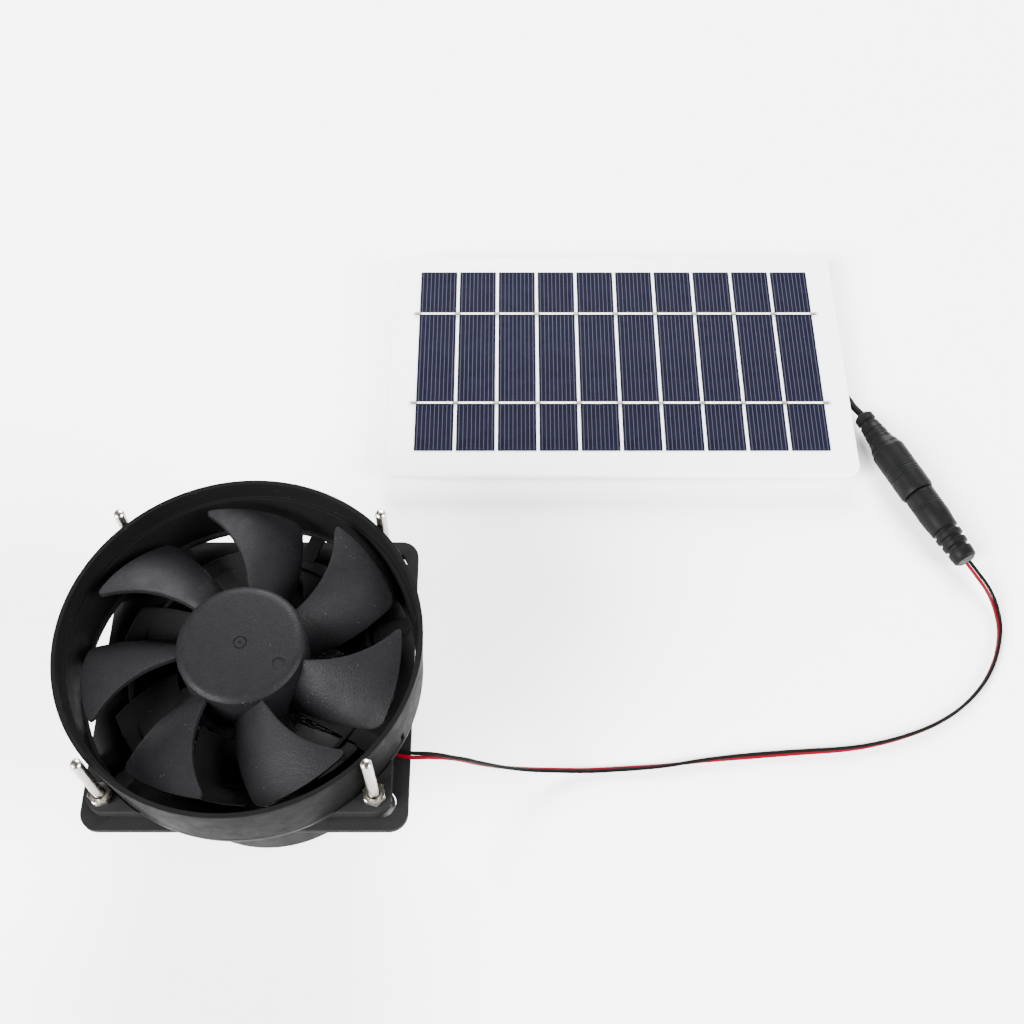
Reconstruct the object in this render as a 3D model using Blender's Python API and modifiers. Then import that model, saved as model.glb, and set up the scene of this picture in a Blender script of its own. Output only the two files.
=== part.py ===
"""Solar attic fan: a duct fan bolted to a square plate with a spigot, and the small
solar panel that drives it through a twin lead, an inline barrel connector and a cable.

Run with: blender --background --python part.py
Metres, +Z up. Everything stands on z = 0, and the origin is the middle of the footprint
of fan and panel. The fan turns about a vertical axis.
"""
import math

import bmesh
import bpy
from mathutils import Euler, Matrix, Vector

# ------------------------------------------------------------------ driving dimensions
GAP = 0.0003            # left between pieces that touch
FACETS = 56             # sides of the large round pieces
SMALL_FACETS = 16       # sides of the small round pieces
ZERO = (0.0, 0.0, 0.0)

# Levels of the fan above the surface it stands on
RIM_Z = 0.0710
COLLAR_BOTTOM_Z = 0.0493
PLATE_TOP_Z = 0.0447
PLATE_THICK = 0.0020
PLATE_BOTTOM_Z = PLATE_TOP_Z - PLATE_THICK
EAR_TOP_Z = 0.0497
EAR_BOTTOM_Z = PLATE_TOP_Z + GAP
LIP_TOP_Z = COLLAR_BOTTOM_Z - GAP
LIP_BOTTOM_Z = 0.0473

# Collar: a short duct ring that fits a 100 mm duct
COLLAR_R = 0.0485
COLLAR_FOOT_R = 0.0472
COLLAR_WALL = 0.0013
THROAT_R = 0.0460
STEP_DEPTH = 0.0065

# Frame: four ears on a lip ring, a motor seat and guide vanes
EAR_HALF = 0.0400
EAR_CORNER_R = 0.0050
LIP_INNER_R = 0.0453
EAR_INNER_R = 0.0476
BOLT_OFFSET = 0.03575   # the 71.5 mm hole spacing of an 80 mm fan
SEAT_R = 0.0175
SEAT_BOTTOM_Z = 0.0450
SEAT_TOP_Z = 0.0484
VANE_COUNT = 7
VANE_EDGE_DEG = -46.9    # the first vane's lower edge, at its inner end
VANE_LEAN_DEG = 19.0     # how far that edge leans round by the vane's outer end
VANE_SPAN_DEG = 28.0
VANE_INNER_R = 0.0200
VANE_OUTER_R = 0.0378
VANE_TOP_Z = 0.0503
VANE_BOTTOM_Z = 0.0466
VANE_THICK = 0.0012
ARM_TOP_Z = 0.0487       # the bars that hold the vanes
ARM_BOTTOM_Z = 0.0476
ROOT_ARM_SIZE = (0.0058, 0.0040)
ROOT_ARM_R = 0.0189
ROOT_ARM_INSET_DEG = 9.0
TIP_ARM_SIZE = (0.0096, 0.0042)
TIP_ARM_R = 0.0414
TIP_ARM_INSET_DEG = 4.5
LEAD_BAR_SIZE = (0.0297, 0.0046)    # the wider bar that covers the lead
LEAD_BAR_AT = (0.0269, -0.0166)
GUARD_R = 0.0330
GUARD_HALF_WIDTH = 0.0006
GUARD_TOP_Z = 0.0493
GUARD_BOTTOM_Z = 0.0475
SEAT_CHAMFER = 0.0008
SEAT_DRAFT = 0.0006
GROOVE_SIZE = (0.0160, 0.0034, 0.0030)   # where the lead leaves the seat
GROOVE_OUT = 0.0060
GROOVE_Z = 0.0450
NOTCH_SIZE = (0.0110, 0.0060, 0.0026)    # where it passes the lip ring
NOTCH_AT = (0.0400, -0.0225, 0.0459)
CLIP_AT = (0.0380, -0.02125, 0.0460)
CLIP_HALF_LENGTH = 0.0012
LABEL_R = 0.0085
LABEL_THICK = 0.0003

# Plate, spigot and gasket
PLATE_HALF = 0.0433
PLATE_SHIFT = 0.0010        # the plate sits a little off the fan's axis, on its wide bolt holes
PLATE_CORNER_R = 0.0050
PLATE_HOLE_R = 0.0043
SPIGOT_R = 0.0350
SPIGOT_WALL = 0.0018
GASKET_THICK = 0.0010
GASKET_HALF = 0.0428
GASKET_BOLT_HOLE_R = 0.0054

# M3 fasteners
BOLT_R = 0.0015
BOLT_TIP_Z = 0.0745
HEAD_R = 0.0028
HEAD_HEIGHT = 0.0018
NUT_FLATS = 0.0055
NUT_HEIGHT = 0.0024
WASHER_R = 0.0050
WASHER_THICK = 0.0008

# Impeller
HUB_R = 0.0172
HUB_WALL = 0.0016
HUB_TOP_Z = 0.0678
HUB_BOTTOM_Z = 0.0505
BLADE_COUNT = 7
BLADE_FIRST_DEG = 7.2
BLADE_TIP_R = 0.0426
BLADE_THICK = 0.0013
BLADE_ROOT_Z = 0.0660   # leading edge at the hub
BLADE_TIP_Z = 0.0677    # leading edge at the tip
BLADE_TAIL_ROOT_Z = 0.0536
BLADE_TAIL_TIP_Z = 0.0580
BLADE_ROOT_LAG_DEG = 20.4    # leading edge: the root trails the tip by this much
BLADE_BOW_DEG = 10.4         # and bows back between the two
BLADE_TAIL_LAG_DEG = 51.5    # trailing edge at the root, behind the leading tip
BLADE_TAIL_GAIN_DEG = 15.5   # what the trailing edge gains on the way to the tip
BLADE_STRAIGHT_FALL = 0.4    # the rest of the fall grows with the square of the chord
BOSS_R = 0.0027
BOSS_BOTTOM_Z = 0.0642

# Motor
SHAFT_R = 0.0015
SHAFT_TOP_Z = 0.0656
SHAFT_BOTTOM_Z = 0.0484
BEARING_R = 0.0031
BEARING_BORE_R = 0.0017
BEARING_HEIGHT = 0.0024
BEARING_UPPER_Z = 0.0596
BEARING_LOWER_Z = 0.0506
TUBE_R = 0.0042
TUBE_BORE_R = 0.0034
TUBE_TOP_Z = 0.0622
TUBE_BOTTOM_Z = 0.0470
YOKE_R = 0.0152
YOKE_WALL = 0.0009
YOKE_BOTTOM_Z = 0.0514
MAGNET_R = 0.0140
MAGNET_BORE_R = 0.0123
CORE_R = 0.0118
CORE_BORE_R = 0.0045
CORE_MID_Z = 0.0576
CORE_HEIGHT = 0.0070
POLE_COUNT = 4
POLE_HUB_R = 0.0055
POLE_NECK_HALF = 0.0016
SHOE_INNER_R = 0.0102
SHOE_HALF_DEG = 38.0
COIL_OUTSIDE = (0.0100, 0.0064)
COIL_INSIDE = (0.0078, 0.0040)
COIL_FROM_R = 0.0058
COIL_TO_R = 0.0090
BOARD_R = 0.0135
BOARD_RISE = 0.0004     # above the motor seat
BOARD_THICK = 0.0012
YOKE_HOLE_R = 0.0031
SHAFT_CLIP_R = 0.0028
SHAFT_CLIP_BORE_R = 0.0018
SHAFT_CLIP_BOTTOM_Z = 0.0496
SHAFT_CLIP_TOP_Z = 0.0500
SHAFT_CLIP_OPENING_DEG = 40.0
SPRING_R = 0.0023
SPRING_WIRE_R = 0.00015
SPRING_BOTTOM_Z = 0.0625
SPRING_TOP_Z = 0.0638
SPRING_TURNS = 3
SPRING_STEPS_PER_TURN = 8

# Solar panel: ten strips, each a twelfth of a 156 mm wafer
PANEL_FROM_FAN = Vector((0.1092, 0.1376, 0.0))
PANEL_WIDTH = 0.1600
PANEL_DEPTH = 0.0960
PANEL_CORNER_R = 0.0038
BOX_LID_THICK = 0.0010
BOX_TOP_Z = 0.0060
BACKING_BOTTOM_Z = BOX_TOP_Z + GAP
BACKING_TOP_Z = 0.0083
CELL_COUNT = 10
CELL_WIDTH = 0.0132
CELL_DEPTH = 0.0787
CELL_PITCH = 0.01428
CELL_THICK = 0.00025
CELL_Y = 0.0009
RIBBON_WIDTH = 0.0014
RIBBON_OVERHANG = 0.0024
RIBBON_THICK = 0.00014
THIN_GAP = 0.00013      # between the laminated layers
FILM_THICK = 0.0005
BOX_WIDTH = 0.0320
BOX_DEPTH = 0.0240
BOX_WALL = 0.0015
BOX_ROOF = 0.0012
BOX_CORNER_R = 0.0020
DIODE_R = 0.0012
DIODE_HALF = 0.0026
DIODE_AT = (-0.0060, 0.0, 0.0030)
GLAND_R = 0.0025
GLAND_TIP_R = 0.0020
GLAND_LENGTH = 0.0060

# Connector, measured from its mating face along its axis
MATE_FROM_FAN = Vector((0.2081, 0.0838, 0.00575))
CONNECTOR_TURN = math.radians(-65.3)
JACK_R = 0.00575
JACK_LENGTH = 0.0350
PLUG_R = 0.0051
PLUG_LENGTH = 0.0280
SOCKET_R = 0.0031
SOCKET_DEPTH = 0.0105
BARREL_R = 0.00275
BARREL_BORE_R = 0.00135
PIN_R = 0.0010
PIN_TIP = 0.0015        # the pin stops this far inside the socket
MOULD_EDGE = 0.0004
JACK_SHOULDER = 0.0200  # the jack's full width ends here and narrows to its neck
JACK_NECK = 0.0245
JACK_NECK_R = 0.0041
JACK_TAIL_R = 0.0030
PLUG_SHOULDER = 0.0100
PLUG_WAIST = 0.0180
PLUG_WAIST_R = 0.0044
PLUG_TAIL_R = 0.0037
BARREL_LENGTH = 0.0096

# Cords
WIRE_R = 0.00055
WIRE_PITCH = 0.0014     # between the centres of the two wires of the lead
CABLE_R = 0.0012
LEAD_STEPS = 75
CABLE_STEPS = 32

# Middle of the lead, from the motor seat to the plug, measured from the fan's axis
LEAD_ROUTE = [
    (0.0102, -0.0067, 0.0456), (0.0200, -0.0119, 0.0456), (0.0300, -0.0172, 0.0456),
    (0.0385, -0.0215, 0.0456), (0.0440, -0.0229, 0.0453), (0.0496, -0.0226, 0.0438),
    (0.0541, -0.0218, 0.0402), (0.0587, -0.0205, 0.0346), (0.0624, -0.0192, 0.0285),
    (0.0690, -0.0165, 0.0178), (0.0762, -0.0140, 0.0090), (0.0842, -0.0123, 0.0036),
    (0.0923, -0.0116, 0.0013), (0.0997, -0.0112, 0.0008), (0.1171, -0.0100, 0.0008),
    (0.1290, -0.0084, 0.0008), (0.1413, -0.0071, 0.0008), (0.1569, -0.0058, 0.0008),
    (0.1726, -0.0047, 0.0008), (0.1822, -0.0032, 0.0008), (0.1919, -0.0006, 0.0008),
    (0.2019, 0.0033, 0.0008), (0.2110, 0.0089, 0.0008), (0.2187, 0.0163, 0.0008),
    (0.2243, 0.0250, 0.0008), (0.2275, 0.0345, 0.0010), (0.2276, 0.0425, 0.0018),
    (0.2257, 0.0487, 0.0034), (0.2225, 0.0536, 0.0051), (0.2201, 0.0576, 0.00575),
]
# How far the lead's two wires have rolled over: (share of the length, half turns)
LEAD_ROLL = [
    (0.0, 0.0), (0.11, 0.0), (0.19, 0.58), (0.34, 0.77), (0.42, 0.77),
    (0.57, 0.33), (0.76, 0.53), (0.88, 0.54), (1.0, 0.88),
]

# Middle of the panel's cable, from the junction box to the jack, from the fan's axis
CABLE_ROUTE = [
    (0.1243, 0.1376, 0.0034), (0.1330, 0.1376, 0.0033), (0.1430, 0.1379, 0.0018),
    (0.1540, 0.1390, 0.0014), (0.1650, 0.1399, 0.0013), (0.1740, 0.1390, 0.0013),
    (0.1815, 0.1358, 0.0014), (0.1865, 0.1308, 0.0020), (0.1896, 0.1254, 0.0032),
    (0.1912, 0.1197, 0.0050), (0.1933, 0.1159, 0.00575),
]

# The kit's footprint is centred on the origin
FAN_AT = Vector((
    -(PANEL_FROM_FAN.x + PANEL_WIDTH / 2 - COLLAR_R) / 2,
    -(PANEL_FROM_FAN.y + PANEL_DEPTH / 2 - COLLAR_R) / 2,
    0.0,
))


# --------------------------------------------------------------------------- helpers
def clear_scene():
    for thing in list(bpy.data.objects):
        bpy.data.objects.remove(thing, do_unlink=True)


def new_collection(name):
    group = bpy.data.collections.new(name)
    bpy.context.scene.collection.children.link(group)
    return group


clear_scene()
PARTS = new_collection("solar_attic_fan")
TOOLS = new_collection("cutters")


def empty(name, location, rotation=ZERO):
    thing = bpy.data.objects.new(name, None)
    thing.location = location
    thing.rotation_euler = rotation
    PARTS.objects.link(thing)
    return thing


FAN = empty("fan_axis", FAN_AT)
ROTOR = empty("rotor_axis", FAN_AT)
PANEL = empty("panel_centre", FAN_AT + PANEL_FROM_FAN)
CONNECTOR = empty("connector_axis", FAN_AT + MATE_FROM_FAN, (0.0, math.pi / 2, CONNECTOR_TURN))


def material(name, colour, roughness, metallic=0.0, alpha=1.0):
    paint = bpy.data.materials.new(name)
    paint.use_nodes = True
    shader = paint.node_tree.nodes["Principled BSDF"]
    shader.inputs["Base Color"].default_value = (*colour, 1.0)
    shader.inputs["Roughness"].default_value = roughness
    shader.inputs["Metallic"].default_value = metallic
    shader.inputs["Alpha"].default_value = alpha
    paint.diffuse_color = (*colour, alpha)
    return paint


BLACK_PLASTIC = (0.022, 0.022, 0.025)
NICKEL = (0.72, 0.70, 0.66)
BRIGHT_STEEL = (0.60, 0.60, 0.60)


def place(name, mesh, paint, parent, location=ZERO, rotation=ZERO):
    """Puts a mesh in the scene as one named piece, or as a hidden tool if paint is None."""
    thing = bpy.data.objects.new(name, mesh)
    thing.location = location
    thing.rotation_euler = rotation
    thing.parent = parent
    if paint is None:
        TOOLS.objects.link(thing)
        thing.hide_render = True
        thing.display_type = "WIRE"
    else:
        PARTS.objects.link(thing)
        mesh.materials.clear()
        mesh.materials.append(paint)
    return thing


def turned(name, outline, paint, parent, facets=FACETS, location=ZERO, ring=True):
    """Turns (radius, height) points about Z. The points run down the outer side first.

    A ring's outline is closed; a solid's outline starts and ends on the axis.
    """
    form = bmesh.new()
    points = [form.verts.new((radius, 0.0, height)) for radius, height in outline]
    for one, other in zip(points, points[1:]):
        form.edges.new((one, other))
    if ring:
        form.edges.new((points[-1], points[0]))
    mesh = bpy.data.meshes.new(name)
    form.to_mesh(mesh)
    form.free()
    thing = place(name, mesh, paint, parent, location)
    screw = thing.modifiers.new("turn", "SCREW")
    screw.axis = "Z"
    screw.steps = facets
    screw.render_steps = facets
    screw.use_merge_vertices = True
    screw.merge_threshold = 0.00001
    return thing


def circle(radius, facets=SMALL_FACETS, centre=(0.0, 0.0)):
    turns = [2 * math.pi * step / facets for step in range(facets)]
    return [(centre[0] + radius * math.cos(turn), centre[1] + radius * math.sin(turn)) for turn in turns]


def moved(outline, across):
    return [(x + across, y) for x, y in outline]


def rounded_rectangle(width, depth, radius, steps=6):
    points = []
    for corner, (side_x, side_y) in enumerate(((1, 1), (-1, 1), (-1, -1), (1, -1))):
        centre_x = side_x * (width / 2 - radius)
        centre_y = side_y * (depth / 2 - radius)
        for step in range(steps + 1):
            turn = math.pi / 2 * (corner + step / steps)
            points.append((centre_x + radius * math.cos(turn), centre_y + radius * math.sin(turn)))
    return points


def extruded(name, outlines, low, high, paint, parent, location=ZERO, rotation=ZERO):
    """Extrudes flat outlines from low to high. Outlines inside the first one are holes."""
    curve = bpy.data.curves.new(name, "CURVE")
    curve.dimensions = "2D"
    curve.fill_mode = "BOTH"
    curve.extrude = (high - low) / 2
    for outline in outlines:
        spline = curve.splines.new("POLY")
        spline.points.add(len(outline) - 1)
        spline.use_cyclic_u = True
        for point, (x, y) in zip(spline.points, outline):
            point.co = (x, y, 0.0, 1.0)
    guide = bpy.data.objects.new(name, curve)
    TOOLS.objects.link(guide)
    bpy.context.view_layer.update()
    mesh = bpy.data.meshes.new_from_object(guide.evaluated_get(bpy.context.evaluated_depsgraph_get()))
    bpy.data.objects.remove(guide, do_unlink=True)
    form = bmesh.new()
    form.from_mesh(mesh)
    bmesh.ops.remove_doubles(form, verts=form.verts, dist=0.000001)
    bmesh.ops.translate(form, verts=form.verts, vec=(0.0, 0.0, (low + high) / 2))
    bmesh.ops.recalc_face_normals(form, faces=form.faces)
    form.to_mesh(mesh)
    form.free()
    return place(name, mesh, paint, parent, location, rotation)


def block(name, size, centre, parent, rotation=ZERO):
    """A box used as a tool for a Boolean."""
    form = bmesh.new()
    bmesh.ops.create_cube(form, size=1.0, matrix=Matrix.Diagonal((*size, 1.0)))
    mesh = bpy.data.meshes.new(name)
    form.to_mesh(mesh)
    form.free()
    return place(name, mesh, None, parent, centre, rotation)


def combine(target, tool, operation):
    boolean = target.modifiers.new(tool.name, "BOOLEAN")
    boolean.operation = operation
    boolean.object = tool


def join(target, tool):
    combine(target, tool, "UNION")


def cut(target, tool):
    combine(target, tool, "DIFFERENCE")


def smooth_points(route, count):
    """Points evenly spaced along a smooth curve through every point of the route."""
    knots = [Vector(point) for point in route]
    knots = [2 * knots[0] - knots[1]] + knots + [2 * knots[-1] - knots[-2]]
    fine = []
    per_span = 24
    for first in range(len(knots) - 3):
        before, start, end, after = knots[first:first + 4]
        for step in range(per_span):
            t = step / per_span
            fine.append(0.5 * (
                2 * start + (end - before) * t
                + (2 * before - 5 * start + 4 * end - after) * t ** 2
                + (3 * start - before - 3 * end + after) * t ** 3
            ))
    fine.append(knots[-2])
    lengths = [0.0]
    for one, other in zip(fine, fine[1:]):
        lengths.append(lengths[-1] + (other - one).length)
    points = []
    place_now = 0
    for step in range(count + 1):
        target = lengths[-1] * step / count
        while place_now < len(fine) - 2 and lengths[place_now + 1] < target:
            place_now += 1
        span = lengths[place_now + 1] - lengths[place_now]
        share = (target - lengths[place_now]) / span
        points.append(fine[place_now].lerp(fine[place_now + 1], share))
    return points


def tube(name, points, radius, paint, parent):
    """A round wire or cable along the points, with closed ends."""
    curve = bpy.data.curves.new(name, "CURVE")
    curve.dimensions = "3D"
    curve.bevel_depth = radius
    curve.bevel_resolution = 2
    curve.use_fill_caps = True
    spline = curve.splines.new("POLY")
    spline.points.add(len(points) - 1)
    for point, position in zip(spline.points, points):
        point.co = (*position, 1.0)
    thing = bpy.data.objects.new(name, curve)
    thing.parent = parent
    PARTS.objects.link(thing)
    curve.materials.append(paint)
    return thing


def grid_sheet(name, rows, thickness, parent):
    """A curved sheet through rows of points, thickened. Used as a tool for a Boolean union."""
    form = bmesh.new()
    grid = [[form.verts.new(point) for point in row] for row in rows]
    for lower, upper in zip(grid, grid[1:]):
        for index in range(len(lower) - 1):
            form.faces.new((lower[index], lower[index + 1], upper[index + 1], upper[index]))
    mesh = bpy.data.meshes.new(name)
    form.to_mesh(mesh)
    form.free()
    thing = place(name, mesh, None, parent)
    solid = thing.modifiers.new("thickness", "SOLIDIFY")
    solid.thickness = thickness
    solid.offset = 0.0
    return thing


def polar(radius, degrees, height):
    turn = math.radians(degrees)
    return Vector((radius * math.cos(turn), radius * math.sin(turn), height))


def corners(offset):
    """The four fastener places, named from in front of the fan."""
    return {
        "front_left": (-offset, -offset),
        "front_right": (offset, -offset),
        "rear_right": (offset, offset),
        "rear_left": (-offset, offset),
    }


# ------------------------------------------------------------------------- fan housing
def build_collar():
    step_z = RIM_Z - STEP_DEPTH
    throat_rim_r = COLLAR_R - COLLAR_WALL
    chamfer = 0.0002
    outline = [
        (COLLAR_R - chamfer, RIM_Z),
        (COLLAR_R, RIM_Z - chamfer),
        (COLLAR_FOOT_R, COLLAR_BOTTOM_Z),
        (THROAT_R, COLLAR_BOTTOM_Z),
        (THROAT_R + 0.0001, step_z - chamfer),
        (throat_rim_r - 0.0001, step_z),
        (throat_rim_r, RIM_Z),
    ]
    paint = material("collar_black", BLACK_PLASTIC, 0.52)
    turned("duct_collar", outline, paint, FAN)


def build_vane(number):
    """One guide vane: a wide plate that slopes against the blades and leans round outwards."""
    rows = []
    spans = 4
    for row in range(spans + 1):
        share = row / spans
        radius = VANE_INNER_R + share * (VANE_OUTER_R - VANE_INNER_R)
        edge = VANE_EDGE_DEG + number * 360 / VANE_COUNT + VANE_LEAN_DEG * share
        rows.append([
            polar(radius, edge - VANE_SPAN_DEG, VANE_TOP_Z - VANE_THICK / 2),
            polar(radius, edge - VANE_SPAN_DEG / 2, (VANE_TOP_Z + VANE_BOTTOM_Z) / 2),
            polar(radius, edge, VANE_BOTTOM_Z + VANE_THICK / 2),
        ])
    return grid_sheet(f"vane_{number + 1}", rows, VANE_THICK, FAN)


def build_arm(name, size, x, y, degrees):
    """A flat bar of the frame, at a place given from the fan's axis."""
    centre = (x, y, (ARM_TOP_Z + ARM_BOTTOM_Z) / 2)
    return block(name, (*size, ARM_TOP_Z - ARM_BOTTOM_Z), centre, FAN, (0.0, 0.0, math.radians(degrees)))


def vane_arms(number):
    """The two bars of a vane: one from the motor seat, and one out to the lip ring."""
    edge = VANE_EDGE_DEG + number * 360 / VANE_COUNT
    arms = []
    for name, size, radius, degrees in (
        ("root_arm", ROOT_ARM_SIZE, ROOT_ARM_R, edge - ROOT_ARM_INSET_DEG),
        ("tip_arm", TIP_ARM_SIZE, TIP_ARM_R, edge + VANE_LEAN_DEG - TIP_ARM_INSET_DEG),
    ):
        at = polar(radius, degrees, 0.0)
        arms.append(build_arm(f"{name}_{number + 1}", size, at.x, at.y, degrees))
    return arms


def build_frame():
    paint = material("frame_black", BLACK_PLASTIC, 0.55)
    lip = [
        (COLLAR_FOOT_R, LIP_TOP_Z),
        (COLLAR_FOOT_R, LIP_BOTTOM_Z),
        (LIP_INNER_R, LIP_BOTTOM_Z),
        (LIP_INNER_R, LIP_TOP_Z),
    ]
    frame = turned("fan_frame", lip, paint, FAN)

    ears = extruded(
        "ears",
        [rounded_rectangle(2 * EAR_HALF, 2 * EAR_HALF, EAR_CORNER_R)]
        + [circle(BOLT_R + GAP, SMALL_FACETS, centre) for centre in corners(BOLT_OFFSET).values()],
        EAR_BOTTOM_Z, EAR_TOP_Z, None, FAN,
    )
    over = 0.0050
    ledge_z = LIP_TOP_Z - 0.0002
    ledge_r = COLLAR_FOOT_R - 0.0010
    well = turned(
        "ear_well",
        [
            (0.0, EAR_TOP_Z + over), (EAR_INNER_R, EAR_TOP_Z + over), (EAR_INNER_R, ledge_z),
            (ledge_r, ledge_z), (ledge_r, EAR_BOTTOM_Z - over), (0.0, EAR_BOTTOM_Z - over),
        ],
        None, FAN, ring=False,
    )
    cut(ears, well)
    join(frame, ears)

    seat = turned(
        "seat",
        [
            (SEAT_R - SEAT_CHAMFER, SEAT_TOP_Z), (SEAT_R, SEAT_TOP_Z - SEAT_CHAMFER),
            (SEAT_R - SEAT_DRAFT, SEAT_BOTTOM_Z), (TUBE_R + GAP, SEAT_BOTTOM_Z), (TUBE_R + GAP, SEAT_TOP_Z),
        ],
        None, FAN,
    )
    guard = turned(
        "guard_ring",
        [
            (GUARD_R + GUARD_HALF_WIDTH, GUARD_TOP_Z), (GUARD_R + GUARD_HALF_WIDTH, GUARD_BOTTOM_Z),
            (GUARD_R - GUARD_HALF_WIDTH, GUARD_BOTTOM_Z), (GUARD_R - GUARD_HALF_WIDTH, GUARD_TOP_Z),
        ],
        None, FAN,
    )
    for number in range(VANE_COUNT):
        join(frame, build_vane(number))
    join(frame, guard)
    for number in range(VANE_COUNT):
        for arm in vane_arms(number):
            join(frame, arm)
    run = Vector(LEAD_ROUTE[2]) - Vector(LEAD_ROUTE[0])
    run_turn = math.atan2(run.y, run.x)
    join(frame, build_arm("lead_bar", LEAD_BAR_SIZE, *LEAD_BAR_AT, math.degrees(run_turn)))
    join(frame, seat)

    groove_start = Vector(LEAD_ROUTE[0])
    groove_middle = groove_start + Vector((math.cos(run_turn), math.sin(run_turn), 0.0)) * GROOVE_OUT
    groove_at = (groove_middle.x, groove_middle.y, GROOVE_Z)
    groove = block("lead_groove", GROOVE_SIZE, groove_at, FAN, (0.0, 0.0, run_turn))
    notch = block("lead_notch", NOTCH_SIZE, NOTCH_AT, FAN, (0.0, 0.0, run_turn))
    cut(frame, groove)
    cut(frame, notch)

    clip_outline = [
        (0.0025, -0.0010), (0.0025, 0.0010), (-0.0025, 0.0010), (-0.0025, -0.0010),
        (-0.0018, -0.0010), (-0.0018, 0.00042), (0.0018, 0.00042), (0.0018, -0.0010),
    ]
    extruded(
        "lead_clip", [clip_outline], -CLIP_HALF_LENGTH, CLIP_HALF_LENGTH,
        material("clip_rubber", (0.03, 0.03, 0.03), 0.8), FAN,
        CLIP_AT, (math.pi / 2, 0.0, run_turn + math.pi / 2),
    )


def build_plate():
    paint = material("plate_black", BLACK_PLASTIC, 0.5)
    plate = extruded(
        "mounting_plate",
        [
            moved(rounded_rectangle(2 * PLATE_HALF, 2 * PLATE_HALF, PLATE_CORNER_R), PLATE_SHIFT),
            circle(SPIGOT_R - SPIGOT_WALL / 2, FACETS),
        ] + [
            moved(circle(PLATE_HOLE_R, SMALL_FACETS, centre), PLATE_SHIFT)
            for centre in corners(BOLT_OFFSET).values()
        ],
        PLATE_BOTTOM_Z, PLATE_TOP_Z, paint, FAN,
    )
    inner = SPIGOT_R - SPIGOT_WALL
    spigot = turned(
        "spigot",
        [
            (SPIGOT_R, PLATE_TOP_Z - 0.0002), (SPIGOT_R, 0.0008), (SPIGOT_R - 0.0005, 0.0),
            (inner, 0.0), (inner, PLATE_TOP_Z - 0.0002),
        ],
        None, FAN,
    )
    join(plate, spigot)

    top = PLATE_BOTTOM_Z - GAP
    extruded(
        "plate_gasket",
        [
            moved(rounded_rectangle(2 * GASKET_HALF, 2 * GASKET_HALF, PLATE_CORNER_R), PLATE_SHIFT),
            circle(SPIGOT_R + GAP, FACETS),
        ] + [circle(GASKET_BOLT_HOLE_R, SMALL_FACETS, centre) for centre in corners(BOLT_OFFSET).values()],
        top - GASKET_THICK, top, material("gasket_foam", (0.45, 0.45, 0.45), 0.9), FAN,
    )


# --------------------------------------------------------------------------- fasteners
def build_fasteners():
    paint = material("nickel", NICKEL, 0.3, 1.0)
    washer_top = PLATE_BOTTOM_Z - GAP
    head_top = washer_top - WASHER_THICK - GAP
    head_bottom = head_top - HEAD_HEIGHT
    nut_low = EAR_TOP_Z + GAP
    nut_across = NUT_FLATS / math.sqrt(3)
    for corner, (x, y) in corners(BOLT_OFFSET).items():
        turned(
            f"bolt_{corner}",
            [
                (0.0, BOLT_TIP_Z), (BOLT_R - 0.0004, BOLT_TIP_Z), (BOLT_R, BOLT_TIP_Z - 0.0004),
                (BOLT_R, head_top), (HEAD_R, head_top), (HEAD_R, head_bottom + 0.0006),
                (HEAD_R - 0.0007, head_bottom), (0.0, head_bottom),
            ],
            paint, FAN, SMALL_FACETS, (x, y, 0.0), ring=False,
        )
        nut_turn = math.atan2(y, x)
        hexagon = [
            (nut_across * math.cos(math.radians(60 * side + 30) + nut_turn),
             nut_across * math.sin(math.radians(60 * side + 30) + nut_turn))
            for side in range(6)
        ]
        extruded(
            f"nut_{corner}", [hexagon, circle(BOLT_R + GAP)], nut_low, nut_low + NUT_HEIGHT,
            paint, FAN, (x, y, 0.0),
        )
        extruded(
            f"washer_{corner}", [circle(WASHER_R), circle(BOLT_R + GAP)],
            washer_top - WASHER_THICK, washer_top, paint, FAN, (x, y, 0.0),
        )


# ------------------------------------------------------------------------------- rotor
def blade_sheet(number):
    """Blade surface: rows run from hub to tip, each from the leading to the trailing edge."""
    rows = []
    spans = 6
    chords = 6
    root_r = HUB_R - 0.0008
    tip_deg = BLADE_FIRST_DEG + number * 360 / BLADE_COUNT
    for row in range(spans + 1):
        share = row / spans
        radius = root_r + share * (BLADE_TIP_R - root_r)
        lead_deg = tip_deg - BLADE_ROOT_LAG_DEG * (1 - share) - BLADE_BOW_DEG * share * (1 - share)
        tail_deg = tip_deg - BLADE_TAIL_LAG_DEG + BLADE_TAIL_GAIN_DEG * share
        lead_z = BLADE_ROOT_Z + share * (BLADE_TIP_Z - BLADE_ROOT_Z) - BLADE_THICK / 2
        tail_z = BLADE_TAIL_ROOT_Z + share * (BLADE_TAIL_TIP_Z - BLADE_TAIL_ROOT_Z)
        points = []
        for column in range(chords + 1):
            along = column / chords
            fall = BLADE_STRAIGHT_FALL * along + (1 - BLADE_STRAIGHT_FALL) * along ** 2
            degrees = lead_deg + (tail_deg - lead_deg) * along
            points.append(polar(radius, degrees, lead_z + (tail_z - lead_z) * fall))
        rows.append(points)
    return rows


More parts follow.
